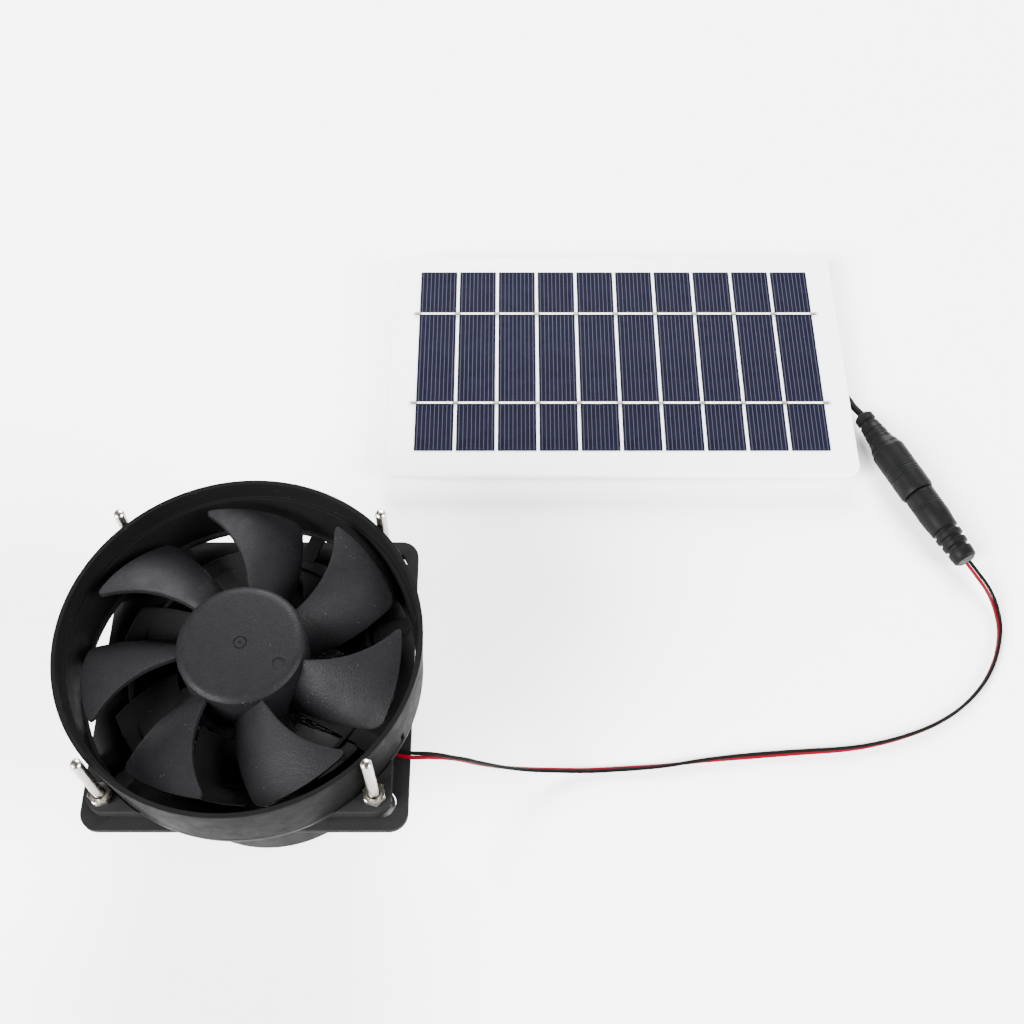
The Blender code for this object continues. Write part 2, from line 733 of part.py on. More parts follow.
def build_impeller():
    roof_z = HUB_TOP_Z - HUB_WALL
    bore_r = SHAFT_R + GAP
    bore_top = SHAFT_TOP_Z + GAP
    outline = [
        (0.0, HUB_TOP_Z), (HUB_R - 0.0012, HUB_TOP_Z), (HUB_R - 0.0004, HUB_TOP_Z - 0.0003),
        (HUB_R, HUB_TOP_Z - 0.0012), (HUB_R, HUB_BOTTOM_Z), (HUB_R - HUB_WALL, HUB_BOTTOM_Z),
        (HUB_R - HUB_WALL, roof_z), (BOSS_R, roof_z), (BOSS_R, BOSS_BOTTOM_Z), (bore_r, BOSS_BOTTOM_Z),
        (bore_r, bore_top), (0.0, bore_top),
    ]
    paint = material("impeller_grey", (0.030, 0.031, 0.035), 0.6)
    impeller = turned("impeller", outline, paint, ROTOR, ring=False)
    for number in range(BLADE_COUNT):
        join(impeller, grid_sheet(f"blade_{number + 1}", blade_sheet(number), BLADE_THICK, ROTOR))


def build_rotor_inside():
    yoke_top = HUB_TOP_Z - HUB_WALL - GAP
    yoke_inner = YOKE_R - YOKE_WALL
    turned(
        "rotor_yoke",
        [
            (YOKE_R - 0.0006, yoke_top), (YOKE_R, yoke_top - 0.0006), (YOKE_R, YOKE_BOTTOM_Z),
            (yoke_inner, YOKE_BOTTOM_Z), (yoke_inner, yoke_top - YOKE_WALL),
            (YOKE_HOLE_R, yoke_top - YOKE_WALL), (YOKE_HOLE_R, yoke_top),
        ],
        material("zinc_steel", (0.50, 0.50, 0.48), 0.4, 1.0), ROTOR, 48,
    )
    magnet_top = yoke_top - YOKE_WALL - GAP
    turned(
        "rotor_magnet",
        [
            (MAGNET_R, magnet_top), (MAGNET_R, YOKE_BOTTOM_Z + 0.0006),
            (MAGNET_BORE_R, YOKE_BOTTOM_Z + 0.0006), (MAGNET_BORE_R, magnet_top),
        ],
        material("ferrite", (0.06, 0.05, 0.05), 0.7), ROTOR, 48,
    )
    chamfer = 0.0002
    turned(
        "shaft",
        [
            (0.0, SHAFT_TOP_Z), (SHAFT_R - chamfer, SHAFT_TOP_Z), (SHAFT_R, SHAFT_TOP_Z - chamfer),
            (SHAFT_R, SHAFT_BOTTOM_Z + chamfer), (SHAFT_R - chamfer, SHAFT_BOTTOM_Z), (0.0, SHAFT_BOTTOM_Z),
        ],
        material("shaft_steel", BRIGHT_STEEL, 0.25, 1.0), ROTOR, SMALL_FACETS, ring=False,
    )
    ring_open = math.radians(SHAFT_CLIP_OPENING_DEG)
    steps = 20
    sweep = [ring_open / 2 + (2 * math.pi - ring_open) * step / steps for step in range(steps + 1)]
    outside = [(SHAFT_CLIP_R * math.cos(turn), SHAFT_CLIP_R * math.sin(turn)) for turn in sweep]
    inside = [
        (SHAFT_CLIP_BORE_R * math.cos(turn), SHAFT_CLIP_BORE_R * math.sin(turn))
        for turn in reversed(sweep)
    ]
    extruded(
        "shaft_clip", [outside + inside], SHAFT_CLIP_BOTTOM_Z, SHAFT_CLIP_TOP_Z,
        material("spring_steel", (0.35, 0.35, 0.36), 0.4, 1.0), ROTOR,
    )
    spring_steps = SPRING_TURNS * SPRING_STEPS_PER_TURN
    coil = []
    for step in range(spring_steps + 1):
        share = step / spring_steps
        height = SPRING_BOTTOM_Z + (SPRING_TOP_Z - SPRING_BOTTOM_Z) * share
        coil.append(polar(SPRING_R, 360 * SPRING_TURNS * share, height))
    spring_paint = material("music_wire", (0.45, 0.45, 0.45), 0.35, 1.0)
    tube("preload_spring", coil, SPRING_WIRE_R, spring_paint, ROTOR)


# ---------------------------------------------------------------------- motor, fixed side
def core_outline():
    """Outline of the lamination stack: a hub, four necks and four curved pole shoes."""
    neck_start = math.sqrt(POLE_HUB_R ** 2 - POLE_NECK_HALF ** 2)
    neck_end = math.sqrt(SHOE_INNER_R ** 2 - POLE_NECK_HALF ** 2)
    shoe_half = math.radians(SHOE_HALF_DEG)
    steps = 8
    points = []
    for pole in range(POLE_COUNT):
        middle = 2 * math.pi * pole / POLE_COUNT
        local = [(neck_start, -POLE_NECK_HALF), (neck_end, -POLE_NECK_HALF)]
        local.append((SHOE_INNER_R * math.cos(shoe_half), -SHOE_INNER_R * math.sin(shoe_half)))
        for step in range(steps + 1):
            turn = -shoe_half + 2 * shoe_half * step / steps
            local.append((CORE_R * math.cos(turn), CORE_R * math.sin(turn)))
        local.append((SHOE_INNER_R * math.cos(shoe_half), SHOE_INNER_R * math.sin(shoe_half)))
        local.append((neck_end, POLE_NECK_HALF))
        local.append((neck_start, POLE_NECK_HALF))
        for x, y in local:
            points.append((
                x * math.cos(middle) - y * math.sin(middle),
                x * math.sin(middle) + y * math.cos(middle),
            ))
    return points


def build_motor_fixed():
    brass = material("brass", (0.70, 0.52, 0.22), 0.35, 1.0)
    turned(
        "bearing_tube",
        [
            (TUBE_R, TUBE_TOP_Z), (TUBE_R, TUBE_BOTTOM_Z),
            (TUBE_BORE_R, TUBE_BOTTOM_Z), (TUBE_BORE_R, TUBE_TOP_Z),
        ],
        brass, FAN, SMALL_FACETS,
    )
    steel = material("bearing_steel", BRIGHT_STEEL, 0.3, 1.0)
    for name, low in (("bearing_upper", BEARING_UPPER_Z), ("bearing_lower", BEARING_LOWER_Z)):
        high = low + BEARING_HEIGHT
        turned(
            name,
            [(BEARING_R, high), (BEARING_R, low), (BEARING_BORE_R, low), (BEARING_BORE_R, high)],
            steel, FAN, SMALL_FACETS,
        )
    core_low = CORE_MID_Z - CORE_HEIGHT / 2
    extruded(
        "stator_core", [core_outline(), circle(CORE_BORE_R)], core_low, core_low + CORE_HEIGHT,
        material("lamination", (0.33, 0.34, 0.36), 0.45, 1.0), FAN,
    )
    copper = material("copper", (0.72, 0.30, 0.14), 0.35, 1.0)
    for number in range(POLE_COUNT):
        turn = 2 * math.pi * number / POLE_COUNT
        extruded(
            f"coil_{number + 1}",
            [rounded_rectangle(*COIL_OUTSIDE, 0.0014, 3), rounded_rectangle(*COIL_INSIDE, 0.0003, 2)],
            COIL_FROM_R, COIL_TO_R, copper, FAN, (0.0, 0.0, CORE_MID_Z), (0.0, math.pi / 2, turn),
        )
    extruded(
        "circuit_board", [circle(BOARD_R, 48), circle(TUBE_R + 0.0007)],
        SEAT_TOP_Z + BOARD_RISE, SEAT_TOP_Z + BOARD_RISE + BOARD_THICK,
        material("board_green", (0.02, 0.16, 0.06), 0.5), FAN,
    )
    label_top = SEAT_BOTTOM_Z - GAP
    label_low = label_top - LABEL_THICK
    turned(
        "seat_label", [(0.0, label_top), (LABEL_R, label_top), (LABEL_R, label_low), (0.0, label_low)],
        material("label_foil", (0.75, 0.75, 0.75), 0.45), FAN, 48, ring=False,
    )


# ------------------------------------------------------------------------- solar panel
def build_panel():
    extruded(
        "panel_backing", [rounded_rectangle(PANEL_WIDTH, PANEL_DEPTH, PANEL_CORNER_R)],
        BACKING_BOTTOM_Z, BACKING_TOP_Z, material("panel_white", (0.82, 0.83, 0.83), 0.45), PANEL,
    )
    cell_paint = material("cell_blue", (0.035, 0.05, 0.11), 0.3)
    cell_low = BACKING_TOP_Z + THIN_GAP
    for number in range(CELL_COUNT):
        x = (number - (CELL_COUNT - 1) / 2) * CELL_PITCH
        extruded(
            f"cell_{number + 1:02d}", [rounded_rectangle(CELL_WIDTH, CELL_DEPTH, 0.0002, 1)],
            cell_low, cell_low + CELL_THICK, cell_paint, PANEL, (x, CELL_Y, 0.0),
        )
    ribbon_low = cell_low + CELL_THICK + THIN_GAP
    ribbon_length = (CELL_COUNT - 1) * CELL_PITCH + CELL_WIDTH + 2 * RIBBON_OVERHANG
    ribbon_paint = material("tinned_ribbon", (0.75, 0.74, 0.70), 0.35, 1.0)
    for name, side in (("bus_ribbon_front", -1), ("bus_ribbon_rear", 1)):
        extruded(
            name, [rounded_rectangle(ribbon_length, RIBBON_WIDTH, 0.0002, 1)],
            ribbon_low, ribbon_low + RIBBON_THICK, ribbon_paint, PANEL,
            (0.0, CELL_Y + side * CELL_DEPTH / 4, 0.0),
        )
    film_low = ribbon_low + RIBBON_THICK + THIN_GAP
    extruded(
        "cover_film", [rounded_rectangle(PANEL_WIDTH, PANEL_DEPTH, PANEL_CORNER_R)],
        film_low, film_low + FILM_THICK, material("clear_film", (0.95, 0.95, 0.95), 0.1, 0.0, 0.2), PANEL,
    )


def build_junction_box():
    paint = material("box_black", BLACK_PLASTIC, 0.45)
    box_low = BOX_LID_THICK + GAP
    box_outline = rounded_rectangle(BOX_WIDTH, BOX_DEPTH, BOX_CORNER_R, 4)
    box = extruded("junction_box", [box_outline], box_low, BOX_TOP_Z, paint, PANEL)
    hollow_height = 0.0080
    hollow = block(
        "box_hollow", (BOX_WIDTH - 2 * BOX_WALL, BOX_DEPTH - 2 * BOX_WALL, hollow_height),
        (0.0, 0.0, BOX_TOP_Z - BOX_ROOF - hollow_height / 2), PANEL,
    )
    cut(box, hollow)
    outlet = turned(
        "box_outlet", [(0.0, 0.006), (CABLE_R + GAP, 0.006), (CABLE_R + GAP, -0.006), (0.0, -0.006)],
        None, PANEL, SMALL_FACETS, (BOX_WIDTH / 2, 0.0, CABLE_ROUTE[0][2]), ring=False,
    )
    outlet.rotation_euler = Euler((0.0, math.pi / 2, 0.0))
    cut(box, outlet)
    lid_paint = material("lid_black", BLACK_PLASTIC, 0.45)
    extruded("junction_lid", [box_outline], 0.0, BOX_LID_THICK, lid_paint, PANEL)
    diode = turned(
        "blocking_diode",
        [(0.0, DIODE_HALF), (DIODE_R, DIODE_HALF), (DIODE_R, -DIODE_HALF), (0.0, -DIODE_HALF)],
        material("diode_black", (0.02, 0.02, 0.02), 0.35), PANEL, SMALL_FACETS, DIODE_AT, ring=False,
    )
    diode.rotation_euler = Euler((0.0, math.pi / 2, 0.0))
    gland = turned(
        "cable_gland",
        [
            (GLAND_TIP_R, GLAND_LENGTH), (GLAND_R, 0.0),
            (CABLE_R + GAP, 0.0), (CABLE_R + GAP, GLAND_LENGTH),
        ],
        material("gland_rubber", (0.02, 0.02, 0.02), 0.7), PANEL, SMALL_FACETS,
        (BOX_WIDTH / 2 + GAP, 0.0, CABLE_ROUTE[0][2]),
    )
    gland.rotation_euler = Euler((0.0, math.pi / 2, 0.0))


# --------------------------------------------------------------------------- connector
def build_connector():
    soft_black = material("connector_black", (0.018, 0.018, 0.018), 0.4)
    contact = material("contact_nickel", NICKEL, 0.3, 1.0)
    turned(
        "jack_body",
        [
            (0.0, -SOCKET_DEPTH), (SOCKET_R, -SOCKET_DEPTH), (SOCKET_R, 0.0), (JACK_R - MOULD_EDGE, 0.0),
            (JACK_R, -MOULD_EDGE), (JACK_R, -JACK_SHOULDER), (JACK_NECK_R, -JACK_NECK),
            (JACK_TAIL_R, -JACK_LENGTH), (0.0, -JACK_LENGTH),
        ],
        soft_black, CONNECTOR, 32, ring=False,
    )
    turned(
        "jack_pin",
        [
            (0.0, -PIN_TIP), (PIN_R - 0.0002, -PIN_TIP), (PIN_R, -PIN_TIP - 0.0002),
            (PIN_R, -SOCKET_DEPTH + GAP), (0.0, -SOCKET_DEPTH + GAP),
        ],
        contact, CONNECTOR, SMALL_FACETS, ring=False,
    )
    turned(
        "plug_body",
        [
            (0.0, PLUG_LENGTH), (PLUG_TAIL_R, PLUG_LENGTH), (PLUG_WAIST_R, PLUG_WAIST),
            (PLUG_R, PLUG_SHOULDER), (PLUG_R, GAP + MOULD_EDGE), (PLUG_R - MOULD_EDGE, GAP), (0.0, GAP),
        ],
        soft_black, CONNECTOR, 32, ring=False,
    )
    turned(
        "plug_barrel",
        [
            (BARREL_R, 0.0), (BARREL_R, -BARREL_LENGTH),
            (BARREL_BORE_R, -BARREL_LENGTH), (BARREL_BORE_R, 0.0),
        ],
        contact, CONNECTOR, SMALL_FACETS,
    )


# ------------------------------------------------------------------------------- cords
def half_turns(share):
    """How many half turns the lead has made by this share of its length."""
    for (start, low), (end, high) in zip(LEAD_ROLL, LEAD_ROLL[1:]):
        if share <= end:
            step = (share - start) / (end - start)
            return low + (high - low) * step * step * (3 - 2 * step)
    return LEAD_ROLL[-1][1]


def lead_points(side):
    """Points of one wire: side 1 is the red wire, -1 the black one."""
    middle = smooth_points(LEAD_ROUTE, LEAD_STEPS)
    points = []
    for number, point in enumerate(middle):
        before = middle[max(number - 1, 0)]
        after = middle[min(number + 1, LEAD_STEPS)]
        along = after - before
        across = Vector((-along.y, along.x, 0.0)).normalized()
        above = along.cross(across).normalized()
        turn = math.pi * (1 + half_turns(number / LEAD_STEPS))
        lift = abs(math.sin(turn)) * WIRE_PITCH / 2
        offset = across * math.cos(turn) + above * math.sin(turn)
        points.append(point + offset * side * WIRE_PITCH / 2 + Vector((0.0, 0.0, lift)))
    return points


def build_cords():
    tube("lead_red", lead_points(1), WIRE_R, material("wire_red", (0.62, 0.02, 0.02), 0.3), FAN)
    tube("lead_black", lead_points(-1), WIRE_R, material("wire_black", (0.02, 0.02, 0.02), 0.3), FAN)
    tube(
        "panel_cable", smooth_points(CABLE_ROUTE, CABLE_STEPS), CABLE_R,
        material("cable_black", (0.02, 0.02, 0.02), 0.4), FAN,
    )


build_collar()
build_frame()
build_plate()
build_fasteners()
build_impeller()
build_rotor_inside()
build_motor_fixed()
build_panel()
build_junction_box()
build_connector()
build_cords()
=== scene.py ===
"""Looks of the solar attic fan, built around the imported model.

Metres, +Z up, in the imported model's own frame. The pieces in view are rebuilt finer than
the solids, inside their box, and ride on the body that they belong to. The hidden ones,
such as the motor's and the junction box, keep their solids' shape and get a material.
"""
import math

import bmesh
import bpy
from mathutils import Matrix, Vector


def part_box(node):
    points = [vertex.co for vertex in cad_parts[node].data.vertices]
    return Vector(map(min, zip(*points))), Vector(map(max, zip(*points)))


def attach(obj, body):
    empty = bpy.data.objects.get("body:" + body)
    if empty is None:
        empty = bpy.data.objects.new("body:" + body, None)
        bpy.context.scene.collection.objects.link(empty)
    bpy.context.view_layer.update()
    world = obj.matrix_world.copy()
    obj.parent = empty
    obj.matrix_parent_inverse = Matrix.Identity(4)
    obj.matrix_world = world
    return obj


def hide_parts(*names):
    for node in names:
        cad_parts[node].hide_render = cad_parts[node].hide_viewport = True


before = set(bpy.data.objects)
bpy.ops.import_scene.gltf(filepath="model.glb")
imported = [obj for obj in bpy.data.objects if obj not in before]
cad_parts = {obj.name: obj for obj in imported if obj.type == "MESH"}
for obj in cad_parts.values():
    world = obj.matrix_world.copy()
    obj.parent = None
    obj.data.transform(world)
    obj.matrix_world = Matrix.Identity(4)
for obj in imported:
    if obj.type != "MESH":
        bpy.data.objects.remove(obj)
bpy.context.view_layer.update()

HOUSING = "housing"
ROTOR = "rotor"
# clearance between pieces that would otherwise share a face
GAP = 0.0003
ZERO = (0.0, 0.0, 0.0)


def middle_of(node):
    low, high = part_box(node)
    return (low + high) / 2


FAN = middle_of("duct_collar")
FAN.z = 0.0
PANEL = middle_of("panel_backing")
PANEL.z = 0.0

# ------------------------------------------------------------------------------ camera
CAMERA_FROM_FAN = Vector((0.07174, -0.15019, 0.38918))
CAMERA_TILT_DEG = 30.61
LENS = 47.07
SENSOR_WIDTH = 36.0
CAMERA_CLIP = (0.01, 20.0)


def build_camera():
    """The camera, which looks down on the set from the front."""
    lens = bpy.data.cameras.new("camera")
    lens.lens = LENS
    lens.sensor_width = SENSOR_WIDTH
    lens.clip_start, lens.clip_end = CAMERA_CLIP
    camera = bpy.data.objects.new("camera", lens)
    camera.location = FAN + CAMERA_FROM_FAN
    camera.rotation_euler = (math.radians(CAMERA_TILT_DEG), 0.0, 0.0)
    bpy.context.scene.collection.objects.link(camera)
    bpy.context.scene.camera = camera


# --------------------------------------------------------------------------- materials
class Paint:
    """A node material in the making. Its values are numbers, colours or sockets."""

    def __init__(self, name):
        self.material = bpy.data.materials.new(name)
        self.material.use_nodes = True
        self.nodes = self.material.node_tree.nodes
        self.links = self.material.node_tree.links
        self.shader = self.nodes["Principled BSDF"]
        self.place = self.nodes.new("ShaderNodeTexCoord").outputs["Object"]

    def feed(self, socket, value):
        if isinstance(value, bpy.types.NodeSocket):
            self.links.new(value, socket)
        else:
            socket.default_value = value

    def node(self, kind, inputs=None, **settings):
        made = self.nodes.new(kind)
        for key, value in settings.items():
            setattr(made, key, value)
        for key, value in (inputs or {}).items():
            self.feed(made.inputs[key], value)
        return made

    def math(self, operation, *values):
        made = self.node("ShaderNodeMath", operation=operation)
        for socket, value in zip(made.inputs, values):
            self.feed(socket, value)
        return made.outputs[0]

    def stretched(self, scale):
        return self.node("ShaderNodeMapping", {"Vector": self.place, "Scale": scale}).outputs[0]

    def noise(self, scale, detail=3.0, rough=0.5, place=None):
        inputs = {"Vector": place or self.place, "Scale": scale, "Detail": detail, "Roughness": rough}
        return self.node("ShaderNodeTexNoise", inputs).outputs["Fac"]

    def span(self, value, low, high, from_low=0.3, from_high=0.7):
        """Spreads a value, by default a noise, over low to high."""
        inputs = {"Value": value, "From Min": from_low, "From Max": from_high, "To Min": low, "To Max": high}
        return self.node("ShaderNodeMapRange", inputs).outputs[0]

    def mix(self, share, one, other):
        made = self.node("ShaderNodeMix", data_type="RGBA")
        self.feed(made.inputs[0], share)
        for socket, colour in ((made.inputs[6], one), (made.inputs[7], other)):
            plain = not isinstance(colour, bpy.types.NodeSocket)
            self.feed(socket, (*colour, 1.0) if plain else colour)
        return made.outputs[2]

    def off_step(self, along, pitch):
        """How far a place is from the nearest whole number of pitches, in pitches."""
        steps = self.math("ADD", self.math("DIVIDE", along, pitch), 0.5)
        return self.math("ABSOLUTE", self.math("SUBTRACT", self.math("FRACT", steps), 0.5))

    def varied(self, noise, colour, vary):
        return self.mix(self.span(noise, 0.0, 1.0), shaded(colour, 1 - vary), shaded(colour, 1 + vary))

    def bump(self, height, distance):
        return self.node("ShaderNodeBump", {"Height": height, "Distance": distance}).outputs[0]

    def set(self, **sockets):
        for key, value in sockets.items():
            self.feed(self.shader.inputs[key.replace("_", " ")], value)


def shaded(colour, factor):
    return tuple(min(channel * factor, 1.0) for channel in colour)


# How fine each effect is. A noise has about this many patches in a metre.
MOTTLE_SCALE = 55.0
GLOSS_SCALE = 240.0
METAL_MOTTLE_SCALE = 350.0
METAL_GLOSS_SCALE = 900.0
METAL_SKIN_SCALE = 1800.0
CRYSTAL_SCALE = 260.0
# A light speck's tone over the plastic's, in units of how far the plastic's tone varies
SPECK_GAIN = 3
DUST = (0.09, 0.09, 0.09)
MOTE_SCALE = 900.0
MOTE_SIZE = 0.10
DUSTY_PATCH_SCALE = 210.0
DUSTY_PATCH_FROM = 0.63


def moulded(name, colour, roughness, grain=2200.0, depth=0.00002, vary=0.12, dust=0.0, specular=0.2):
    """Moulded plastic or rubber: fine grain, slow mottling in tone and gloss, some dust."""
    paint = Paint(name)
    tone = paint.varied(paint.noise(MOTTLE_SCALE, 4.0, 0.6), colour, vary)
    speck = paint.span(paint.noise(grain * 1.3, 1.0), 0.0, 1.0, 0.35, 0.75)
    tone = paint.mix(speck, tone, shaded(colour, 1 + SPECK_GAIN * vary))
    if dust:
        motes = paint.node("ShaderNodeTexVoronoi", {"Vector": paint.place, "Scale": MOTE_SCALE})
        spot = paint.math("LESS_THAN", motes.outputs["Distance"], MOTE_SIZE)
        rare = paint.math("GREATER_THAN", paint.noise(DUSTY_PATCH_SCALE, 2.0), DUSTY_PATCH_FROM)
        share = paint.math("MULTIPLY", paint.math("MULTIPLY", spot, rare), dust)
        tone = paint.mix(share, tone, DUST)
    gloss = paint.span(paint.noise(GLOSS_SCALE, 4.0, 0.65), roughness - 0.07, roughness + 0.07)
    skin = paint.bump(paint.noise(grain, 2.0), depth)
    paint.set(Base_Color=tone, Roughness=gloss, Normal=skin, Specular_IOR_Level=specular)
    return paint.material


def metal(name, colour, roughness, streak=(1.0, 1.0, 1.0), vary=0.10, depth=0.000006):
    """Metal, with streaks along the axis whose streak value is the smallest."""
    paint = Paint(name)
    place = paint.stretched(streak)
    tone = paint.varied(paint.noise(METAL_MOTTLE_SCALE, 4.0, 0.6, place), colour, vary)
    gloss = paint.span(paint.noise(METAL_GLOSS_SCALE, 3.0, 0.6, place), roughness - 0.08, roughness + 0.10)
    skin = paint.bump(paint.noise(METAL_SKIN_SCALE, 2.0, 0.5, place), depth)
    paint.set(Base_Color=tone, Roughness=gloss, Metallic=1.0, Normal=skin)
    return paint.material


def cell_paint():
    """Polycrystalline silicon under fine printed fingers that run along the strip (Y)."""
    paint = Paint("silicon_cell")
    crystal = paint.node("ShaderNodeTexVoronoi", {"Vector": paint.place, "Scale": CRYSTAL_SCALE})
    split = paint.node("ShaderNodeSeparateColor", {"Color": crystal.outputs["Color"]})
    base = paint.mix(split.outputs[0], CELL_DARK, CELL_LIGHT)
    base = paint.mix(paint.span(paint.noise(900.0, 3.0), 0.0, 0.25), base, CELL_LIGHT)
    x = paint.node("ShaderNodeSeparateXYZ", {"Vector": paint.place}).outputs[0]
    line = paint.math("LESS_THAN", paint.off_step(x, FINGER_PITCH), FINGER_WIDTH / FINGER_PITCH / 2)
    colour = paint.mix(line, base, FINGER_COLOUR)
    rim = paint.math("GREATER_THAN", paint.math("ABSOLUTE", x), CELL_WIDTH / 2 - CELL_RIM)
    colour = paint.mix(rim, colour, CELL_DARK)
    skin = paint.bump(paint.noise(500.0, 2.0), 0.000004)
    gloss = paint.span(paint.noise(300.0, 3.0), 0.30, 0.42)
    paint.set(Base_Color=colour, Roughness=gloss, Normal=skin, Specular_IOR_Level=0.0)
    return paint.material


def ribbon_paint():
    """Tinned ribbon with painted shade along both long edges, and a brownish joint wherever it crosses to
    the next strip.
    """
    paint = Paint("tinned_copper")
    axes = paint.node("ShaderNodeSeparateXYZ", {"Vector": paint.place})
    off = paint.off_step(axes.outputs[0], CELL_PITCH)
    ragged = paint.math("ADD", off, paint.span(paint.noise(900.0, 2.0), -0.02, 0.02))
    joint = paint.math("LESS_THAN", ragged, JOINT_HALF / CELL_PITCH)
    # Painted shade: both long edges of the ribbon are painted dark, as shadow lines beside it
    edge = paint.math("GREATER_THAN", paint.math("ABSOLUTE", axes.outputs[1]), RIBBON_UNSHADED_HALF)
    tone = paint.mix(paint.span(paint.noise(300.0, 3.0), 0.0, 1.0), TIN_DULL, TIN_BRIGHT)
    tone = paint.mix(joint, tone, JOINT_BROWN)
    tone = paint.mix(edge, tone, RIBBON_EDGE_SHADE)
    gloss = paint.span(paint.noise(700.0, 3.0), 0.38, 0.55)
    paint.set(Base_Color=tone, Roughness=gloss, Normal=paint.bump(paint.noise(1500.0, 2.0), 0.000006))
    return paint.material


def film_paint():
    """The clear cover: nearly invisible, with a faint sheen."""
    paint = Paint("clear_cover")
    gloss = paint.span(paint.noise(90.0, 3.0), 0.30, 0.40)
    skin = paint.bump(paint.noise(140.0, 2.0), 0.00002)
    paint.set(Base_Color=(0.003, 0.003, 0.004, 1.0), Roughness=gloss, Alpha=0.02, Normal=skin,
              Specular_IOR_Level=0.15)
    return paint.material


# Linear colours, and the pattern on the strips and ribbons
BLACK_PLASTIC = (0.0034, 0.0034, 0.0035)
FRAME_BLACK = (0.0084, 0.0084, 0.0085)
IMPELLER_GREY = (0.0040, 0.0040, 0.0046)
CONNECTOR_BLACK = (0.0029, 0.0029, 0.0031)
STUD_NICKEL = (0.42, 0.395, 0.36)
NUT_NICKEL = (0.50, 0.47, 0.42)
WASHER_NICKEL = (0.85, 0.85, 0.83)
CELL_DARK = (0.0039, 0.0038, 0.0084)
CELL_LIGHT = (0.0053, 0.0052, 0.0112)
FINGER_COLOUR = (0.028, 0.029, 0.045)
FINGER_PITCH = 0.00143
FINGER_WIDTH = 0.00026
CELL_WIDTH = 0.0132
CELL_PITCH = 0.01428
CELL_RIM = 0.00022
TIN_DULL = (0.62, 0.61, 0.58)
TIN_BRIGHT = (0.80, 0.79, 0.75)
JOINT_BROWN = (0.13, 0.11, 0.085)
# The dark tone of the ribbons' edges is painted shade
RIBBON_EDGE_SHADE = (0.012, 0.012, 0.013)
# Half the length of a ribbon's joint, and half the width of its middle, outside which painted shade darkens
# its edges
JOINT_HALF = 0.0011
RIBBON_UNSHADED_HALF = 0.00037

# moulded() takes a roughness, how fine and how deep the grain is, how far the tone varies, the
# dust and the specular level. metal() takes a roughness, how the streaks are squeezed along
# each axis, how far the tone varies and how deep the skin is.
PAINTS = {
    "collar": moulded("collar_moulding", BLACK_PLASTIC, 0.52, 2600.0, 0.000015, 0.15, 0.5, 0.009),
    "frame": moulded("frame_moulding", FRAME_BLACK, 0.45, 2400.0, 0.00002, 0.15, 0.4, 0.03),
    "plate": moulded("plate_sheet", FRAME_BLACK, 0.42, 2600.0, 0.000012, 0.12, 0.3, 0.006),
    "impeller": moulded("impeller_moulding", IMPELLER_GREY, 0.50, 1700.0, 0.00009, 0.16, 0.6, 0.07),
    "gasket": moulded("foam", (0.50, 0.50, 0.50), 0.9, 900.0, 0.0001, 0.1),
    "rubber": moulded("rubber", (0.02, 0.02, 0.02), 0.75, 1400.0, 0.00003),
    # The stud's strong tone streaks along its length are partly drawing marks and partly painted reflection
    # bands on the round shank
    "stud": metal("nickel_stud", STUD_NICKEL, 0.24, (1.0, 1.0, 0.12), 0.25, 0.000006),
    "nut": metal("nickel_nut", NUT_NICKEL, 0.28, (1.0, 1.0, 1.0), 0.08, 0.000003),
    "washer": metal("nickel_washer", WASHER_NICKEL, 0.45, (1.0, 1.0, 1.0), 0.06, 0.000003),
    "board": moulded("white_laminate", (0.86, 0.865, 0.87), 0.42, 900.0, 0.000008, 0.012),
    "cell": cell_paint(),
    "ribbon": ribbon_paint(),
    "film": film_paint(),
    "connector": moulded("connector_vinyl", CONNECTOR_BLACK, 0.45, 2600.0, 0.00002, 0.12, 0.2, 0.05),
    "red_wire": moulded("red_vinyl", (0.11, 0.0008, 0.006), 0.45, 2600.0, 0.000006, 0.04, 0.0, 0.03),
    "black_wire": moulded("black_vinyl", (0.0030, 0.0032, 0.0030), 0.45, 2600.0, 0.000006, 0.08, 0.0, 0.02),
    "zinc": metal("zinc_plate", (0.50, 0.50, 0.48), 0.38),
    "steel": metal("ground_steel", (0.60, 0.60, 0.60), 0.28, (1.0, 1.0, 6.0)),
    "spring": metal("spring_steel", (0.40, 0.40, 0.41), 0.35),
    "ferrite": moulded("ferrite_ceramic", (0.06, 0.05, 0.05), 0.7, 1200.0, 0.00003),
    "brass": metal("turned_brass", (0.70, 0.52, 0.22), 0.32, (1.0, 1.0, 8.0)),
    "lamination": metal("laminated_steel", (0.33, 0.34, 0.36), 0.42, (0.3, 0.3, 12.0)),
    "copper": metal("enamelled_copper", (0.72, 0.30, 0.14), 0.3, (1.0, 1.0, 9.0)),
    "green": moulded("solder_mask", (0.02, 0.16, 0.06), 0.4, 1500.0, 0.00001),
    "label": metal("label_foil", (0.75, 0.75, 0.75), 0.42),
    "diode": moulded("diode_epoxy", (0.02, 0.02, 0.02), 0.35),
}


# ---------------------------------------------------------------------------- building
def link(name, mesh, location=ZERO, rotation=ZERO):
    thing = bpy.data.objects.new(name, mesh)
    thing.location = location
    thing.rotation_euler = rotation
    bpy.context.scene.collection.objects.link(thing)
    return thing


def from_form(name, form, location=ZERO, rotation=ZERO):
    mesh = bpy.data.meshes.new(name)
    bmesh.ops.recalc_face_normals(form, faces=form.faces)
    form.to_mesh(mesh)
    form.free()
    return link(name, mesh, location, rotation)


